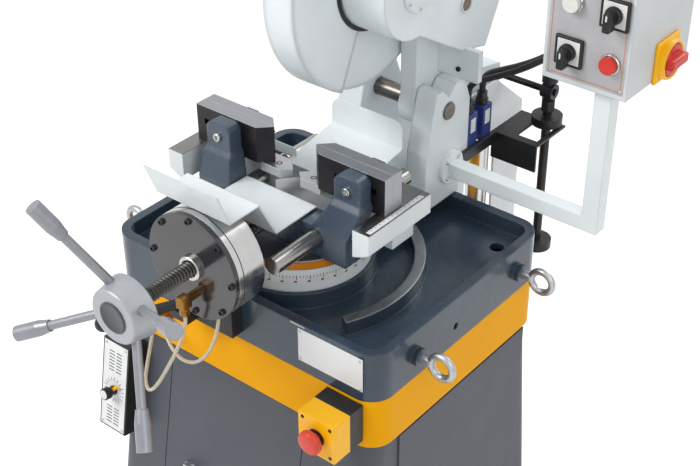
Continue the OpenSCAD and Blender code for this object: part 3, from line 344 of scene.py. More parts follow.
def rail_top(tree, x, y, z):
    """The machined top of the arc rail in the tray."""
    flat = add(tree, "ShaderNodeCombineXYZ", None, {0: x, 1: y}).outputs[0]
    reach = add(tree, "ShaderNodeVectorMath", {"operation": "LENGTH"}, {0: flat}).outputs["Value"]
    return both(tree, within(tree, reach, 186.3, 204.2), within(tree, z, RIM - 5.4, RIM - 2))


def bar_tops(tree, x, y, z):
    """The machined tops of the bed bars and blocks."""
    return past(tree, z, BED_TOP - 0.4)


def jaw_tops(tree, x, y, z):
    """The ground top and outer end of each jaw plate, beside its blackened faces."""
    return either(tree, past(tree, z, RIM + 207), past(tree, from_centre(tree, x, 0), 187.7))


def link_pin(tree, x, y, z):
    """The blackened pin that stands out of the head's lever."""
    return both(tree, past(tree, x, 60.5), past(tree, y, 440))


def switch_gland(tree, x, y, z):
    """The cable gland on top of a limit switch."""
    return past(tree, z, GLAND_Z + 0.2)


def ruler_marks(tree, x, y, z):
    """A tick every 5 mm along the bar, longer every 10 mm."""
    short_ticks = both(tree, ticks(tree, y, 5 * MM, 0.2), short_of(tree, x, 193))
    long_ticks = both(tree, ticks(tree, y, 10 * MM, 0.1), short_of(tree, x, 195.5))
    return either(tree, short_ticks, long_ticks)


def mitre_marks(tree, x, y, z):
    """A tick every 2.5 degrees round the turntable, longer every 10 degrees, with a short bar below it."""
    turn = bearing(tree, x, y)
    short_ticks = both(tree, past(tree, z, RIM + 26.5), ticks(tree, turn, 2.5, 0.16))
    long_ticks = both(tree, past(tree, z, RIM + 23.5), ticks(tree, turn, 10.0, 0.06))
    bars = both(tree, within(tree, z, RIM + 18.5, RIM + 21.5), ticks(tree, turn, 10.0, 0.22))
    return either(tree, either(tree, short_ticks, long_ticks), bars)


def feed_marks(tree, x, y, z):
    """Rows of short dashes in two columns, in a block above the feed dial and one below it."""
    dashes = both(tree, ticks(tree, z, 6 * MM, 0.34), within(tree, from_centre(tree, x, FEED_X), 2, 15))
    return both(tree, dashes, either(tree, within(tree, z, 533, 574), within(tree, z, 432, 468)))


def dial_marks(tree, x, y, z):
    """Ticks round the feed dial, 20 degrees apart."""
    across = add(tree, "ShaderNodeMath", {"operation": "SUBTRACT"}, {0: x, 1: FEED_X * MM}).outputs[0]
    along = add(tree, "ShaderNodeMath", {"operation": "SUBTRACT"}, {0: z, 1: FEED_DIAL_Z * MM}).outputs[0]
    return ticks(tree, bearing(tree, across, along), 20.0, 0.16)


def panel_border(tree, x, y, z):
    """A thin coloured line inside the edge of the panel's face."""
    inset, line = 4.0, 1.5
    wide = from_centre(tree, x, sum(PANEL_X) / 2)
    tall = from_centre(tree, z, sum(PANEL_Z) / 2)
    half_wide = (PANEL_X[1] - PANEL_X[0]) / 2 - inset
    half_tall = (PANEL_Z[1] - PANEL_Z[0]) / 2 - inset
    outer = both(tree, short_of(tree, wide, half_wide), short_of(tree, tall, half_tall))
    inner = both(tree, short_of(tree, wide, half_wide - line), short_of(tree, tall, half_tall - line))
    return add(tree, "ShaderNodeMath", {"operation": "SUBTRACT"}, {0: outer, 1: inner}).outputs[0]


# Stand sheet: powder coat, a dull grey with a fine even texture that scatters highlights
stand_grey = sprayed("powder_coated_grey_sheet", "#4f525a", "#54575f", 0.5, peel=1.6, depth=0.08, edge=1.5)
# Cast tray: thick two-pack enamel over a casting, dark blue grey, soft wide highlights, bare on its rail
tray_enamel = sprayed("blue_grey_enamel_on_casting", "#2d3a48", "#354453", 0.24, peel=16, depth=0.1, edge=4.5,
                      coat=0.25, bare=rail_top, bare_tint=("#84878b", "#969a9e"))
# The same enamel on the small castings, drawn a little paler: painted light on their raised rounded faces
paler_lit_copy_of_tray_enamel = sprayed("blue_grey_enamel_painted_paler_on_supports", "#414d5b", "#495666", 0.28, peel=12, depth=0.1,
                         edge=6.0, coat=0.15)
# Band: bright yellow enamel, smooth and even, with little reflection
band_yellow = sprayed("yellow_gloss_enamel", "#f2a800", "#f4ac02", 0.4, peel=12, depth=0.04, edge=2.5,
                      shine=0.06)
# White parts: pale cool enamel, smooth, with soft edges that catch the light
white_enamel = sprayed("white_enamel_on_steel", "#e9eff1", "#e2e8ea", 0.34, peel=8, depth=0.06, edge=3.0,
                       coat=0.1)
# White castings: the same enamel over a cast skin, so the surface rolls a little more
white_casting = sprayed("white_enamel_on_casting", "#e3e9ec", "#d9e0e3", 0.36, peel=9, depth=0.2, edge=5.0,
                        coat=0.1)
# Head casting: the same, with a blackened link pin
head_casting = sprayed("white_enamel_on_head_casting", "#e3e9ec", "#d9e0e3", 0.36, peel=9, depth=0.2,
                       edge=5.0, coat=0.1, bare=link_pin, bare_tint=("#232326", "#2c2c2f"))
# Guards: the same enamel on deep-drawn sheet, whose corners are rolled to a wide radius
guard_enamel = sprayed("white_enamel_on_drawn_guard", "#e6ecef", "#dee5e8", 0.36, peel=7, depth=0.12,
                       edge=11.0, coat=0.1)
# Bed bars: white enamel with ground steel tops
bed_white = sprayed("white_enamel_with_ground_tops", "#dfe5e8", "#d5dcdf", 0.36, peel=6, depth=0.12, edge=2.5,
                    coat=0.1, bare=bar_tops, bare_tint=("#7d7c7a", "#939290"))
# Panel box: pale powder coat with a fine texture
box_grey = sprayed("pale_powder_coated_box", "#d4d8da", "#cbd0d3", 0.45, peel=1.4, depth=0.06)
# Brackets, rods and the lever: black satin paint, dark with a soft sheen on the edges
black_paint = sprayed("black_satin_paint", "#1d1d20", "#26272a", 0.38, peel=3, depth=0.06, edge=1.5)
# Cylinder cover: blackened plate, smooth, dark and glossy enough to mirror the screw faintly
cover_paint = sprayed("glossy_blackened_plate", "#2d2b2f", "#333136", 0.14, peel=20, depth=0.01, edge=1.5,
                      coat=0.3, shine=0.5)
# Motor: grey paint on a finned aluminium frame, dull and a little uneven
motor_paint = sprayed("grey_paint_on_motor", "#565a60", "#63676d", 0.45, peel=3, depth=0.1)
# Accent: orange gloss enamel on the bed plate's edge, a warm even line
accent_orange = sprayed("orange_gloss_enamel", "#c87708", "#d07e0e", 0.36, peel=4, depth=0.04, edge=0.8)

# Guide rods: ground and polished steel, bright streaks along the axis
ground_rod = worked("ground_steel_rod", "#a09e9b", "#acaaa7", 0.24, lay=2.5, stretch=(1.0, 0.03, 1.0),
                    depth=0.005)
# Shafts: the same along the other axis, darker with oil
ground_shaft = worked("ground_steel_shaft", "#67645f", "#74716c", 0.26, lay=2.5, stretch=(0.03, 1.0, 1.0),
                      depth=0.005)
# Bed plate and inserts: milled steel, matt silver with short tool lines
milled_steel = worked("milled_steel", "#a4a6a8", "#bcbec0", 0.36, lay=2.0, stretch=(0.15, 1.0, 1.0),
                      depth=0.05)
# Jaws: hardened tool steel, nearly black on the faces, ground pale on the top and outer end, with fine lines
jaw_steel = worked("blackened_tool_steel", "#302d2f", "#3b383a", 0.38, lay=1.6, stretch=(0.05, 1.0, 1.0),
                   depth=0.015, metallic=0.9, top=jaw_tops)
# Barrel: turned aluminium, bright bands round the axis
turned_aluminium = worked("turned_aluminium", "#c2c2c1", "#cccccb", 0.22, lay=5.0,
                          stretch=(0.004, 1.0, 0.004), depth=0.004, edge=1.0)
# Hub: turned aluminium with a satin grey paint, even and softly shaded
satin_hub = worked("satin_painted_hub", "#a6a9ae", "#aeb1b6", 0.42, lay=12, depth=0.01, edge=1.5,
                   metallic=0.3)
# Arms: satin grey paint on turned steel, a little darker and brighter on their edges
satin_arm = worked("satin_painted_arm", "#8c8e94", "#96989e", 0.38, lay=12, depth=0.01, edge=1.5,
                   metallic=0.5)
# Lifting eyes, latch and tank: bright zinc plate, pale silver
zinc = worked("zinc_plated_steel", "#a9adb2", "#b6babe", 0.34, lay=8.0, depth=0.01, edge=1.2, metallic=0.9)
# Fittings: turned brass, warm yellow brown
brass = worked("turned_brass", "#7f5a22", "#967038", 0.33, lay=3.0, stretch=(1.0, 1.0, 0.2), depth=0.01)
# Blade: ground tool steel, silver with streaks from the grinder
blade_steel = worked("ground_blade_steel", "#94969a", "#a9abae", 0.28, lay=1.5, stretch=(1.0, 0.1, 0.1),
                     edge=0.2)
# Vice screw: rolled steel, dark in its grooves with bright crests
screw_steel = worked("rolled_thread_steel", "#454442", "#5f5d5a", 0.32, lay=4.0, stretch=(1.0, 0.3, 1.0),
                     depth=0.01, edge=0.3)
# Fasteners: black oxide, nearly black with a soft sheen
black_oxide = worked("black_oxide_steel", "#2a2a2b", "#3a3a3b", 0.36, lay=1.0, edge=0.4, metallic=0.7)
# Bright fasteners: plain zinc, pale silver
bright_zinc = worked("bright_zinc_fastener", "#b3b3b0", "#c8c8c4", 0.28, lay=1.0, edge=0.4)
# Bare plate: anodised aluminium, nearly white, with faint lines along it
plate_silver = worked("anodised_blank_plate", "#dadcde", "#e0e2e3", 0.45, stretch=(0.06, 1.0, 1.0),
                      depth=0.005, edge=0.4, metallic=0.1)

# Boxes, knobs and frames: moulded plastic, black with a low sheen
black_plastic = moulded("black_moulded_plastic", "#1c1c1f", "#242427", 0.4)
# Emergency-stop lid and main-switch plate: moulded plastic, strong yellow with soft highlights
yellow_plastic = moulded("yellow_moulded_plastic", "#ffbb00", "#ffc005", 0.36)
# Stop button and main-switch handle: moulded plastic, red and rather glossy
red_plastic = moulded("red_moulded_plastic", "#cf2f26", "#d93d31", 0.28)
# Mushroom: the same, a little lighter and softer
mushroom_red = moulded("red_mushroom_plastic", "#d3402f", "#dc4f3c", 0.3)
# Start button, knob cap and switch fields: moulded plastic, off-white and rather glossy
white_plastic = moulded("white_moulded_plastic", "#e6e6e2", "#dededa", 0.3)
# Cables and the guard's seal: rubber, black and dull
cable_black = moulded("black_cable_rubber", "#161618", "#202022", 0.5)
# Hub disc: moulded cap, dark grey and smooth
hub_black = moulded("dark_hub_cap", "#46474c", "#4b4c51", 0.38, grain=6.0, depth=0.01)
# Oil window: clear plastic over dark oil, brown and glossy
window_amber = moulded("amber_oil_window", "#6d5846", "#77614d", 0.15, grain=6.0, depth=0.01)

# Scales and plates: engraved or printed strips, pale and smooth with crisp dark marks
ruler_print = printed("engraved_ruler_strip", ("#e4e6e6", "#d8dbdc"), "#2a2b2d", ruler_marks)
mitre_print = printed("engraved_mitre_scale", ("#e6e7e5", "#dcdedd"), "#37383a", mitre_marks)
feed_print = printed("printed_feed_plate", ("#e9eaea", "#dfe1e2"), "#3a3b3e", feed_marks)
dial_print = printed("printed_feed_dial", ("#e9eaea", "#dfe1e2"), "#3a3b3e", dial_marks)
# Panel face: printed sheet, mid grey with a fine copper-coloured border
panel_print = printed("printed_panel_face", ("#b9b8ba", "#b2b1b4"), "#c07f52", panel_border)


def air_hose():
    """Polyurethane hose: clear and slightly amber, glossy, so the light runs along it."""
    made, tree, shader, where = start_material("amber_polyurethane_hose", roughness=0.2, ior=1.5,
                                               transmission_weight=0.35)
    tint = between(tree, spread(tree, cells(tree, where, 15)), "#e2dac4", "#d6ccb2")
    join(tree, shader, base_color=tint, normal=relief(tree, cells(tree, where, 1.5), 0.1, 0.02, 0.3))
    return made


def switch_body():
    """Limit switch: moulded plastic, a blue body below and a black cable gland on top."""
    made, tree, shader, where = start_material("blue_switch_with_black_gland", roughness=0.38)
    grit = cells(tree, where, 1.0)
    blue = between(tree, grit, "#2a3a7a", "#33458a")
    tint = between(tree, masked(tree, where, switch_gland), blue, "#1b1b1e")
    join(tree, shader, base_color=tint, roughness=spread(tree, grit, 0.33, 0.43),
         normal=relief(tree, grit, 0.25, 0.03, 1.2))
    return made


hose_clear = air_hose()
switch_finish = switch_body()
CORD_FINISH = ((front_hose, hose_clear, "hose_clear"), (rear_hose, hose_clear, "hose_clear"),
               (near_cable, cable_black, "cable_black"), (far_cable, cable_black, "cable_black"))
for piece, finish, slot in CORD_FINISH:
    piece.data.materials.append(finish)

NODES_BY_FINISH = (
    (stand_grey, "floor_plate cabinet side_panel cabinet_door"),
    (band_yellow, "cabinet_band"),
    (tray_enamel, "tray_casting"),
    (zinc, "lifting_eyes door_latch coolant_tank"),
    (black_plastic, "coolant_pump estop_base feed_box feed_knob mode_switch pump_switch"),
    (yellow_plastic, "estop_lid"),
    (mushroom_red, "estop_button"),
    (black_paint, "swivel_lever cylinder_bracket switch_bracket stop_rod"),
    (milled_steel, "bed_plate slot_inserts"),
    (accent_orange, "accent_ring"),
    (bed_white, "bed_arms"),
    (ground_rod, "guide_rods feed_piston"),
    (paler_lit_copy_of_tray_enamel, "rear_jaw_supports vice_carriage"),
    (jaw_steel, "rear_jaw_plates front_jaw_plates"),
    (turned_aluminium, "vice_cylinder feed_cylinder"),
    (cover_paint, "cylinder_cover"),
    (brass, "hose_fittings"),
    (white_enamel, "front_chute panel_arm rear_plate rear_chute"),
    (screw_steel, "vice_screw"),
    (satin_hub, "handwheel_hub"),
    (satin_arm, "handwheel_arms"),
    (white_casting, "column"),
    (ground_shaft, "pivot_shaft spindle worm_shaft"),
    (box_grey, "control_box"),
    (switch_finish, "limit_switches"),
    (white_plastic, "start_button"),
    (red_plastic, "stop_button main_switch"),
    (head_casting, "gearbox"),
    (motor_paint, "motor"),
    (guard_enamel, "rear_guard front_guard"),
    (blade_steel, "blade"),
    (hose_clear, "air_hose_front air_hose_rear"),
    (cable_black, "switch_cable_near switch_cable_far"),
)
for finish, nodes in NODES_BY_FINISH:
    for node in nodes.split():
        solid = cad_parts[node]
        solid.data.materials.clear()
        solid.data.materials.append(finish)


# Modelling tools
def pick_faces(test):
    mesh = bmesh.from_edit_mesh(bpy.context.object.data)
    mesh.select_mode = {"FACE"}
    for face in mesh.faces:
        face.select_set(bool(test(face)))
    mesh.select_flush_mode()
    bmesh.update_edit_mesh(bpy.context.object.data)


def settle(name, finish, body=None, smooth=35, instead_of=None):
    """Names the active piece, puts its place in its mesh and gives it its finish and, if named, its body."""
    piece = bpy.context.object
    piece.name = name
    piece.data.name = name
    bpy.ops.object.transform_apply(location=True, rotation=True, scale=True)
    bpy.ops.object.shade_smooth_by_angle(angle=math.radians(smooth))
    piece.data.materials.clear()
    piece.data.materials.append(finish)
    if body:
        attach(piece, body)
    if instead_of:
        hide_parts(instead_of)
    return piece


def copies(name, finish, body, shifts, smooth=35):
    """Takes the active piece as a pattern, sets a copy with its own mesh at each shift and drops it."""
    pattern = settle(name, finish, smooth=smooth)
    made = []
    for number, shift in enumerate(shifts):
        bpy.ops.object.select_all(action="DESELECT")
        pattern.select_set(True)
        bpy.context.view_layer.objects.active = pattern
        bpy.ops.object.duplicate()
        piece = bpy.context.object
        piece.location = Vector(shift) * MM
        bpy.ops.object.transform_apply(location=True, rotation=False, scale=False)
        piece.name = f"{name}_{number + 1}"
        piece.data.name = piece.name
        made.append(piece)
    bpy.data.objects.remove(pattern)
    for piece in made:
        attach(piece, body)


def weld_on(pieces):
    """Joins pieces to the active one."""
    for piece in pieces:
        piece.select_set(True)
    bpy.ops.object.join()


def pressed_plate(low, high, edge, face=None, border=0.0, sink=0.0):
    """A plate with rounded edges and, on the named side, a field sunk inside a border."""
    low, high = Vector(low), Vector(high)
    bpy.ops.object.select_all(action="DESELECT")
    bpy.ops.mesh.primitive_cube_add(size=1, location=(low + high) / 2 * MM, scale=(high - low) * MM)
    bpy.ops.object.transform_apply(location=False, rotation=False, scale=True)
    bpy.ops.object.mode_set(mode="EDIT")
    bpy.ops.mesh.select_all(action="SELECT")
    bpy.ops.mesh.bevel(offset=edge * MM, segments=3, affect="EDGES")
    if face:
        side = Vector(face)
        mesh = bmesh.from_edit_mesh(bpy.context.object.data)
        largest = max((f for f in mesh.faces if f.normal.dot(side) > 0.99), key=lambda f: f.calc_area())
        mark = largest.calc_center_median()
        pick_faces(lambda f: f.normal.dot(side) > 0.99 and (f.calc_center_median() - mark).length < MERGE)
        bpy.ops.mesh.inset(thickness=border * MM, depth=0)
        bpy.ops.mesh.inset(thickness=abs(sink) * MM, depth=-sink * MM)
    bpy.ops.object.mode_set(mode="OBJECT")


def turned_piece(centre, facing, steps, sides=40, ring=False):
    """A turned piece: each step is a distance along its axis and a radius. A ring ends where it began."""
    turn = FACING[facing]
    axis = turn.to_matrix() @ Vector((0, 0, 1))
    centre = Vector(centre) * MM
    along, radius = steps[0]
    bpy.ops.object.select_all(action="DESELECT")
    bpy.ops.mesh.primitive_circle_add(vertices=sides, radius=radius * MM, rotation=turn,
                                      location=centre + axis * along * MM,
                                      fill_type="NOTHING" if ring else "NGON")
    bpy.ops.object.mode_set(mode="EDIT")
    bpy.ops.mesh.select_all(action="SELECT")
    for reach, wide in list(steps[1:]) + ([steps[0]] if ring else []):
        bpy.ops.mesh.extrude_region_move(TRANSFORM_OT_translate={"value": axis * (reach - along) * MM})
        bpy.ops.transform.resize(value=(wide / radius,) * 3, center_override=centre + axis * reach * MM)
        along, radius = reach, wide
    bpy.ops.mesh.select_all(action="SELECT")
    bpy.ops.mesh.remove_doubles(threshold=MERGE)
    bpy.ops.mesh.normals_make_consistent(inside=False)
    bpy.ops.object.mode_set(mode="OBJECT")


def socket_screw(facing, head, tall):
    """A socket-head screw at the origin: a crowned edge and a sunk socket."""
    turned_piece((0, 0, 0), facing, [(-0.5, head), (tall * 0.8, head), (tall, head * 0.88),
                                     (tall, head * 0.58), (tall * 0.35, head * 0.5)], 24)


def button_screw(facing, head, tall):
    """A low screw head with a broad crown and a shallow recess."""
    turned_piece((0, 0, 0), facing, [(-0.3, head), (tall * 0.4, head), (tall * 0.85, head * 0.8),
                                     (tall, head * 0.5), (tall * 0.6, head * 0.42)], 24)


def on_circle(count, radius, first=0.0):
    """Places spaced evenly round a circle, as two distances from its centre."""
    turns = [math.radians(first + 360 / count * k) for k in range(count)]
    return [(radius * math.cos(a), radius * math.sin(a)) for a in turns]


# Vice screw: a rolled thread between the hub and the carriage
def vice_thread():
    pitch, crest, root = 6.0, 12.5, 10.2
    start, turns, steps = -380.0, 52, 24
    profile = ((root, 1.0), (crest - 0.3, 2.3), (crest, 2.7), (crest, 4.0), (crest - 0.3, 4.4), (root, 5.7),
               (root, pitch))
    bpy.ops.object.select_all(action="DESELECT")
    bpy.ops.mesh.primitive_plane_add(size=MM, location=(0, start * MM, SCREW_Z * MM))
    bpy.ops.object.mode_set(mode="EDIT")
    bpy.ops.mesh.select_all(action="SELECT")
    bpy.ops.mesh.merge(type="CENTER")
    bpy.ops.transform.translate(value=(root * MM, 0, 0))
    last = (root, 0.0)
    for point in profile:
        bpy.ops.mesh.extrude_region_move(
            TRANSFORM_OT_translate={"value": ((point[0] - last[0]) * MM, (point[1] - last[1]) * MM, 0)})
        last = point
    bpy.ops.object.mode_set(mode="OBJECT")
    sweep = bpy.context.object.modifiers.new("thread", "SCREW")
    sweep.axis = "Y"
    sweep.screw_offset = pitch * MM
    sweep.iterations = turns
    sweep.steps = steps
    sweep.render_steps = steps
    sweep.use_merge_vertices = True
    sweep.merge_threshold = MERGE
    bpy.ops.object.modifier_apply(modifier="thread")
    bpy.ops.object.mode_set(mode="EDIT")
    bpy.ops.mesh.select_all(action="SELECT")
    bpy.ops.mesh.remove_doubles(threshold=MERGE)
    bpy.ops.mesh.fill_holes(sides=0)
    bpy.ops.mesh.select_all(action="SELECT")
    bpy.ops.mesh.normals_make_consistent(inside=False)
    bpy.ops.object.mode_set(mode="OBJECT")
    settle("vice_thread", screw_steel, "handwheel", 40, "vice_screw")


vice_thread()

# Cylinder cover: eight socket screws and the bright bush round the screw
socket_screw("front", 5.0, 4.5)
copies("cover_screw", black_oxide, "base",
       [(x, COVER_FACE_Y, SCREW_Z + z) for x, z in on_circle(8, COVER_SCREW_CIRCLE)])
turned_piece((0, COVER_FACE_Y, SCREW_Z), "front",
             [(-0.5, 20), (6, 20), (7.5, 18.5), (7.5, 14.5), (6, 13.2), (-0.5, 13.2)], 48, True)
settle("screw_bush", bright_zinc, "base")

# Handwheel hub: the dark disc in its face
turned_piece((0, HUB_FACE_Y, SCREW_Z), "front",
             [(-0.5, 25), (1.2, 25), (2.2, 23.5), (2.2, 21), (1.6, 20), (1.6, 5)], 48)
settle("hub_disc", hub_black, "handwheel")

# Jaw bolts on the front of the moving supports
socket_screw("front", 7.0, 5.0)
copies("jaw_bolt", bright_zinc, "carriage", [(x, -46, RIM + 183) for x in (-118, 138)])

# Insert screws, flush in the bed
turned_piece((0, 0, 0), "up", [(-0.4, 5.0), (0.1, 5.0), (0.18, 4.6), (0.18, 2.9), (-0.2, 2.6)], 24)
copies("insert_screw", black_oxide, "base", [(x, 1, BED_TOP) for x in (-35, 35)])

# Ruler on the right bar
pressed_plate((190.5, -68, BED_TOP), (199, 62, BED_TOP + 0.5), 0.15)
settle("bar_ruler", ruler_print, "base")


# Mitre scale: a thin strip round the front of the turntable ring
def mitre_scale():
    radius, tall, middle, back, thick = 119.02, 15.0, RIM + 23.5, 50.0, 0.4
    bpy.ops.object.select_all(action="DESELECT")
    bpy.ops.mesh.primitive_cylinder_add(vertices=180, radius=radius * MM, depth=tall * MM,
                                        end_fill_type="NOTHING", location=(0, 0, middle * MM))
    bpy.ops.object.mode_set(mode="EDIT")
    pick_faces(lambda f: f.calc_center_median().y > back * MM)
    bpy.ops.mesh.delete(type="FACE")
    bpy.ops.object.mode_set(mode="OBJECT")
    wall = bpy.context.object.modifiers.new("strip", "SOLIDIFY")
    wall.thickness = thick * MM
    wall.offset = 1.0
    bpy.ops.object.modifier_apply(modifier="strip")
    settle("mitre_scale", mitre_print, "turntable")


mitre_scale()


# Bare plate on the tray's front, with four rivets
def tray_plate():
    left, right, low, high = 127, 250, RIM - 68, RIM - 8
    face, seat, inset = -150.2, -149, 4.5
    pressed_plate((left, face, low), (right, seat, high), 0.4, FRONT_SIDE, 2.5, 0.3)
    settle("blank_plate", plate_silver, "base")
    button_screw("front", 2.4, 1.2)
    copies("plate_rivet", bright_zinc, "base",
           [(x, face, z) for x in (left + inset, right - inset) for z in (low + inset, high - inset)])


tray_plate()


# Feed regulator: its plate, dial ring, knob and pointer on the leaning front
def on_slope(x, out, up):
    """A point so far out from the cabinet's leaning front, and so far up it from the foot of the feed box."""
    foot_y, foot_z = CABINET_FOOT
    front = foot_y + (FEED_BOX_Z - foot_z) * math.tan(FRONT_TILT)
    return Vector((x, front - out * math.cos(FRONT_TILT) + up * math.sin(FRONT_TILT),
                   FEED_BOX_Z + out * math.sin(FRONT_TILT) + up * math.cos(FRONT_TILT)))


def lean(at, turn=0.0):
    """Turns the active piece in the plane of the leaning front and sets it down there."""
    piece = bpy.context.object
    bpy.ops.object.transform_apply(location=True, rotation=True, scale=True)
    piece.rotation_mode = "YXZ"
    piece.rotation_euler = (-FRONT_TILT, turn, 0)
    piece.location = at * MM


pressed_plate((-28, -0.9, 3), (28, 0, 171), 0.3, FRONT_SIDE, 2.0, 0.2)
lean(on_slope(FEED_X, FEED_FRAME_OUT, 0))
settle("feed_plate", feed_print, "base")
turned_piece(on_slope(FEED_X, FEED_FRAME_OUT + 0.9, FEED_UP), "slope",
             [(-0.3, 24), (0.3, 24), (0.5, 23.5), (0.5, 18.5), (0.3, 18), (-0.3, 18)], 48, True)
settle("feed_dial", dial_print, "base")
turned_piece(on_slope(FEED_X, FEED_FRAME_OUT + 1.3, FEED_UP), "slope",
             [(0, 8.5), (2.5, 8.5), (3.5, 5.5), (10, 5.5), (11, 9.6), (12, 10.5), (22, 10.5), (23.5, 9.6),
              (23.5, 8.4)], 40)
settle("feed_turn_knob", black_plastic, "feed_control", instead_of="feed_knob")
turned_piece(on_slope(FEED_X, FEED_FRAME_OUT + 24.8, FEED_UP), "slope",
             [(-0.4, 8.2), (0.5, 8.2), (0.9, 7.4), (0.9, 2)], 40)
settle("feed_knob_cap", white_plastic, "feed_control")
pressed_plate((-3, -2.6, 5.0), (3, 0, 20.0), 0.6)
lean(on_slope(FEED_X, FEED_FRAME_OUT + 5.5, FEED_UP), math.radians(40))
settle("feed_pointer", yellow_plastic, "feed_control")
button_screw("slope", 2.6, 1.4)
copies("feed_plate_screw", bright_zinc, "base",
       [on_slope(FEED_X + x, FEED_FRAME_OUT + 0.8, up) for x in (-23.5, 23.5) for up in (8, 166)])

# Emergency stop: a domed mushroom in place of the plain head, its collar and the lid's screws
turned_piece(ESTOP_FACE, "front",
             [(-6, 7.9), (6.5, 7.9), (9, 16), (10.5, 19.6), (11.5, 20), (17, 20), (20, 18.6), (21.8, 15),
              (22.4, 6)], 48)
settle("stop_mushroom", mushroom_red, "estop", 50, "estop_button")
turned_piece(ESTOP_FACE, "front",
             [(-0.4, 15), (0.8, 15), (1.2, 14.4), (1.2, 9.2), (0.8, 8.6), (-0.4, 8.6)], 40, True)
settle("mushroom_collar", black_plastic, "base")
button_screw("front", 3.2, 1.0)
copies("lid_screw", black_oxide, "base",
       [(ESTOP_FACE[0] + x, ESTOP_FACE[1], ESTOP_FACE[2] + z) for x in (-26, 26) for z in (-27, 27)])

# Control panel: face plate with its screws, bright bezels, and rotary switches on square plates
pressed_plate((PANEL_X[0], PANEL_FACE_Y, PANEL_Z[0]), (PANEL_X[1], PANEL_BOX_Y, PANEL_Z[1]), 0.08)
settle("panel_face", panel_print, "turntable")
button_screw("front", 3.4, 2.0)
copies("panel_screw", bright_zinc, "turntable",
       [(x, PANEL_FACE_Y, z) for x in (PANEL_X[0] + PANEL_SCREW_IN, PANEL_X[1] - PANEL_SCREW_IN)
        for z in (PANEL_Z[0] + PANEL_SCREW_IN, PANEL_Z[1] - PANEL_SCREW_IN)])
turned_piece((0, 0, 0), "front", [(-0.2, 16), (4.5, 16), (6, 14.8), (6, 13.6), (-0.2, 13.4)], 40, True)
copies("button_bezel", bright_zinc, "turntable",
       [(PANEL_LEFT, PANEL_BOX_Y, PANEL_UPPER), (PANEL_RIGHT, PANEL_BOX_Y, PANEL_LOWER)])


def rotary_switch(name, x, z, node, body):
    """A black square frame with a white field, and a round knob with a bar handle and a white mark."""
    pressed_plate((x - 23, 233.5, z - 23), (x + 23, PANEL_FACE_Y, z + 23), 2.2, FRONT_SIDE, 1.6, 0.9)
    settle(f"{name}_frame", black_plastic, "turntable")
    pressed_plate((x - 18.5, 233.6, z - 18.5), (x + 18.5, 236, z + 18.5), 0.5, FRONT_SIDE, 1.0, 0.1)
    settle(f"{name}_field", white_plastic, "turntable")
    turned_piece((x, 233, z), "front", [(0, 13.5), (5, 13), (7, 11.5), (7, 4)], 40)
    disc = bpy.context.object
    pressed_plate((x - 6, 210.5, z - 20), (x + 6, 229, z + 9), 2.2, FRONT_SIDE, 1.2, 0.4)
    weld_on([disc])
    settle(f"{name}_knob", black_plastic, body, instead_of=node)
    pressed_plate((x - 1.3, 210.2, z - 2), (x + 1.3, 211.2, z + 6.5), 0.25)
    settle(f"{name}_mark", white_plastic, body)


rotary_switch("mode", PANEL_LEFT, PANEL_LOWER, "mode_switch", "mode")
rotary_switch("pump", PANEL_RIGHT, PANEL_UPPER, "pump_switch", "pump_control")


# Main switch: yellow plate and collar, and a red handle in place of the plain bar
def isolator():
    y, z = ISOLATOR_AT
    pressed_plate((418, y - 33, z - 33), (424, y + 33, z + 33), 2.0, RIGHT_SIDE, 3.0, 0.6)
    settle("isolator_plate", yellow_plastic, "turntable")
    turned_piece((423, y, z), "right",
                 [(0, 32), (8, 31.5), (11, 29.5), (11, 27), (9.5, 25.6), (0, 25.4)], 56, True)
    settle("isolator_collar", yellow_plastic, "turntable")
    turned_piece((424.4, y, z), "right", [(0, 24.8), (8, 24.8), (10, 23), (10, 10)], 56)
    disc = bpy.context.object
    pressed_plate((432, y - 24, z - 8), (446, y + 24, z + 8), 3.0, RIGHT_SIDE, 1.5, 0.3)
    weld_on([disc])
    settle("isolator_handle", red_plastic, "mains", instead_of="main_switch")


isolator()

# Screws of the panel arm's flange
button_screw("right", 3.6, 2.4)
copies("flange_screw", bright_zinc, "turntable",
       [(FLANGE_AT[0], FLANGE_AT[1] + y, FLANGE_AT[2] + z) for y in (-15.6, 15.6) for z in (-15.6, 15.6)])

# Drive cover on the head's right side with six screws, and the oil window below it
turned_piece((HEAD_SIDE_X, *BLADE_AXIS), "right",
             [(0.3, 36), (4, 36), (6, 34), (6, 27), (7.5, 23), (7.5, 8)], 64)
settle("drive_cover", white_casting, "head")
button_screw("right", 3.2, 2.0)
copies("drive_cover_screw", bright_zinc, "head",
       [(HEAD_SIDE_X + 6, BLADE_AXIS[0] + y, BLADE_AXIS[1] + z) for y, z in on_circle(6, 30.5, 30)])
turned_piece(OIL_WINDOW_AT, "right",
             [(-0.3, 15), (2.0, 15), (3.0, 14), (3.0, 12.5), (1.2, 11.5), (-0.3, 11.5)], 48, True)
settle("oil_window_rim", white_casting, "head")
turned_piece(OIL_WINDOW_AT, "right", [(-0.2, 11.8), (0.6, 11.8), (1.0, 10.5), (1.2, 4)], 48)
settle("oil_window", window_amber, "head")
socket_screw("front", 4.2, 3.2)
copies("ear_screw", black_oxide, "head", [(101, 284, RIM + 238)])

# Pivot shaft's end: a bright cap with a centre hole
turned_piece(PIVOT_END, "right", [(-0.3, 14.7), (0.8, 14.7), (1.3, 14.0), (1.3, 3.2), (0.2, 2.4)], 48)
settle("shaft_cap", ground_shaft, "turntable")

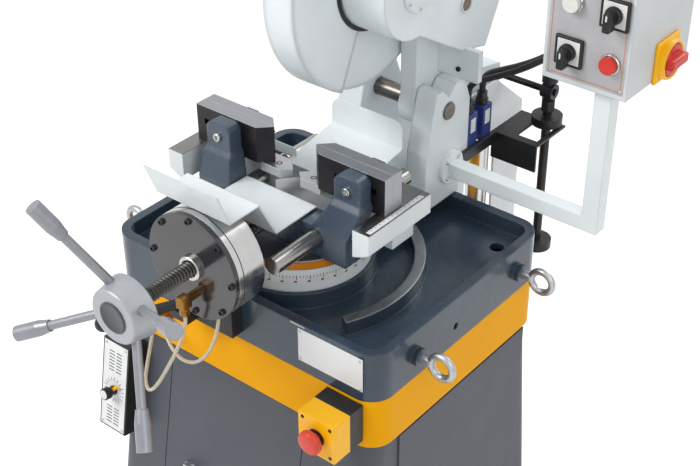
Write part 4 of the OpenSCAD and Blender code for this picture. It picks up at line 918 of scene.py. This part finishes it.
# Limit switches: a white field on each side face and a ribbed nut on each gland
pressed_plate((100, -7, 30), (100.6, 7, 56), 0.25, RIGHT_SIDE, 1.0, 0.1)
copies("switch_field", white_plastic, "turntable",
       [(0, y, RIM + 68) for y in LIMIT_SWITCH_Y])
turned_piece((0, 0, 0), "up", [(0.1, 11.2), (9, 11.2), (10, 10.6), (10, 9.4), (0.1, 9.2)], 8, True)
copies("gland_nut", black_plastic, "turntable",
       [(LIMIT_SWITCH_X, y, GLAND_Z) for y in LIMIT_SWITCH_Y], 20)

# Air fitting on the cover: a square brass body with a hexagon nut over the hose
pressed_plate((-6.5, -266, RIM + 34), (10.5, -248, RIM + 53), 1.6, FRONT_SIDE, 2.0, 0.3)
settle("fitting_body", brass, "base")
turned_piece((*FITTING_AT, RIM + 21), "up",
             [(0, 7.4), (0.8, 8.2), (8, 8.2), (9, 7.6), (9, 7.02), (0, 7.02)], 6, True)
settle("fitting_nut", brass, "base", 20)

# Barrel: a thin black ring behind the cover, painted shade standing for a groove round the barrel
turned_piece((0, -214, SCREW_Z), "front", [(0, 86.9), (0, 87.25), (1.4, 87.25), (1.4, 86.9)], 96, True)
settle("barrel_groove_shade_ring", black_plastic, "base")

# Black seal between the front guard and the head
turned_piece((27.5, *BLADE_AXIS), "right",
             [(0.1, 87), (1.8, 87), (2.3, 86.2), (2.3, 81.2), (1.8, 80.5), (0.1, 80.5)], 96, True)
settle("guard_seal", cable_black, "guard")


# Motor: cooling ribs round the frame, clear of the terminal box, and a grooved fan cowl on top
def motor_ribs():
    spacing, box_half_angle = 15, 32
    made = []
    for turn in range(0, 360, spacing):
        if min(turn, 360 - turn) < box_half_angle:
            continue
        pressed_plate((68.5, -1.6, RIM + 622), (74.5, 1.6, RIM + 752), 0.7, RIGHT_SIDE, 0.5, 0.1)
        bpy.ops.object.transform_apply(location=True, rotation=True, scale=True)
        piece = bpy.context.object
        piece.rotation_euler = (0, 0, math.radians(turn))
        piece.location = (MOTOR_AXIS[0] * MM, MOTOR_AXIS[1] * MM, 0)
        made.append(piece)
    weld_on(made)
    settle("motor_ribs", motor_paint, "head")


motor_ribs()
turned_piece((*MOTOR_AXIS, RIM + 756), "up",
             [(0, 70.2), (0, 74), (40, 74), (46.5, 69), (46.5, 60), (44.5, 60), (44.5, 54), (46.5, 54),
              (46.5, 44), (44.5, 44), (44.5, 38), (46.5, 38), (46.5, 26), (44.5, 26), (44.5, 20), (46.5, 20),
              (46.5, 6), (46.2, 6), (44, 70.2)], 72, True)
settle("fan_cowl", motor_paint, "head")

# Studio: pale floor that keeps the shadow, white surroundings and soft lamps, in metres and watts
WHITE = linear("#ffffff")
FLOOR_SIZE, FLOOR_GLOW = 14, 0.35
FLOOR_FADES_FROM, FLOOR_FADES_TO = 1.6, 5.0
ROOM_LIGHT = 0.52
LAMPS_AIM = Vector((0, 0, 0.85))
LAMPS = (("key_lamp", (-1.5, -2.3, 3.3), 1.8, 86), ("fill_lamp", (2.6, -1.0, 2.4), 2.2, 22),
         ("back_lamp", (0.6, 2.6, 3.0), 1.8, 40))


def seen_directly(tree):
    """One for what the camera sees, straight or in metal and glass, and zero for what lights the saw."""
    ray = add(tree, "ShaderNodeLightPath").outputs
    return either(tree, ray["Is Camera Ray"], either(tree, ray["Is Glossy Ray"], ray["Is Transmission Ray"]))


def lay_floor():
    bpy.ops.object.select_all(action="DESELECT")
    bpy.ops.mesh.primitive_plane_add(size=FLOOR_SIZE)
    floor = bpy.context.object
    floor.name = "floor"
    made, tree, shader, where = start_material("pale_studio_floor", roughness=0.9, specular_ior_level=0.0)
    join(tree, shader, base_color=between(tree, cells(tree, where, 400), "#f4f4f3", "#f7f7f6"))
    strength = both(tree, seen_directly(tree), FLOOR_GLOW)
    glow = add(tree, "ShaderNodeEmission", None, {"Color": WHITE, "Strength": strength})
    lit = add(tree, "ShaderNodeAddShader", None, {0: shader.outputs[0], 1: glow.outputs[0]})
    far = add(tree, "ShaderNodeVectorMath", {"operation": "LENGTH"}, {0: where}).outputs["Value"]
    fade = add(tree, "ShaderNodeMapRange", None, {"Value": far, "From Min": FLOOR_FADES_FROM,
                                                  "From Max": FLOOR_FADES_TO}).outputs["Result"]
    clear = add(tree, "ShaderNodeBsdfTransparent")
    faded = add(tree, "ShaderNodeMixShader", None, {0: fade, 1: lit.outputs[0], 2: clear.outputs[0]})
    tree.links.new(faded.outputs[0], tree.nodes["Material Output"].inputs["Surface"])
    floor.data.materials.append(made)


def light_room():
    world = bpy.data.worlds.new("white_studio")
    bpy.context.scene.world = world
    world.use_nodes = True
    tree = world.node_tree
    strength = add(tree, "ShaderNodeMath", {"operation": "MULTIPLY_ADD"},
                   {0: seen_directly(tree), 1: 1 - ROOM_LIGHT, 2: ROOM_LIGHT}).outputs[0]
    back = tree.nodes["Background"]
    back.inputs["Color"].default_value = WHITE
    tree.links.new(strength, back.inputs["Strength"])
    for name, place, size, power in LAMPS:
        bpy.ops.object.light_add(type="AREA", location=place)
        lamp = bpy.context.object
        lamp.name = name
        lamp.data.size = size
        lamp.data.energy = power
        lamp.visible_camera = False
        lamp.rotation_euler = (Vector(place) - LAMPS_AIM).to_track_quat("Z", "Y").to_euler()


bpy.context.scene.view_settings.view_transform = "Standard"
lay_floor()
light_room()

bpy.context.view_layer.update()
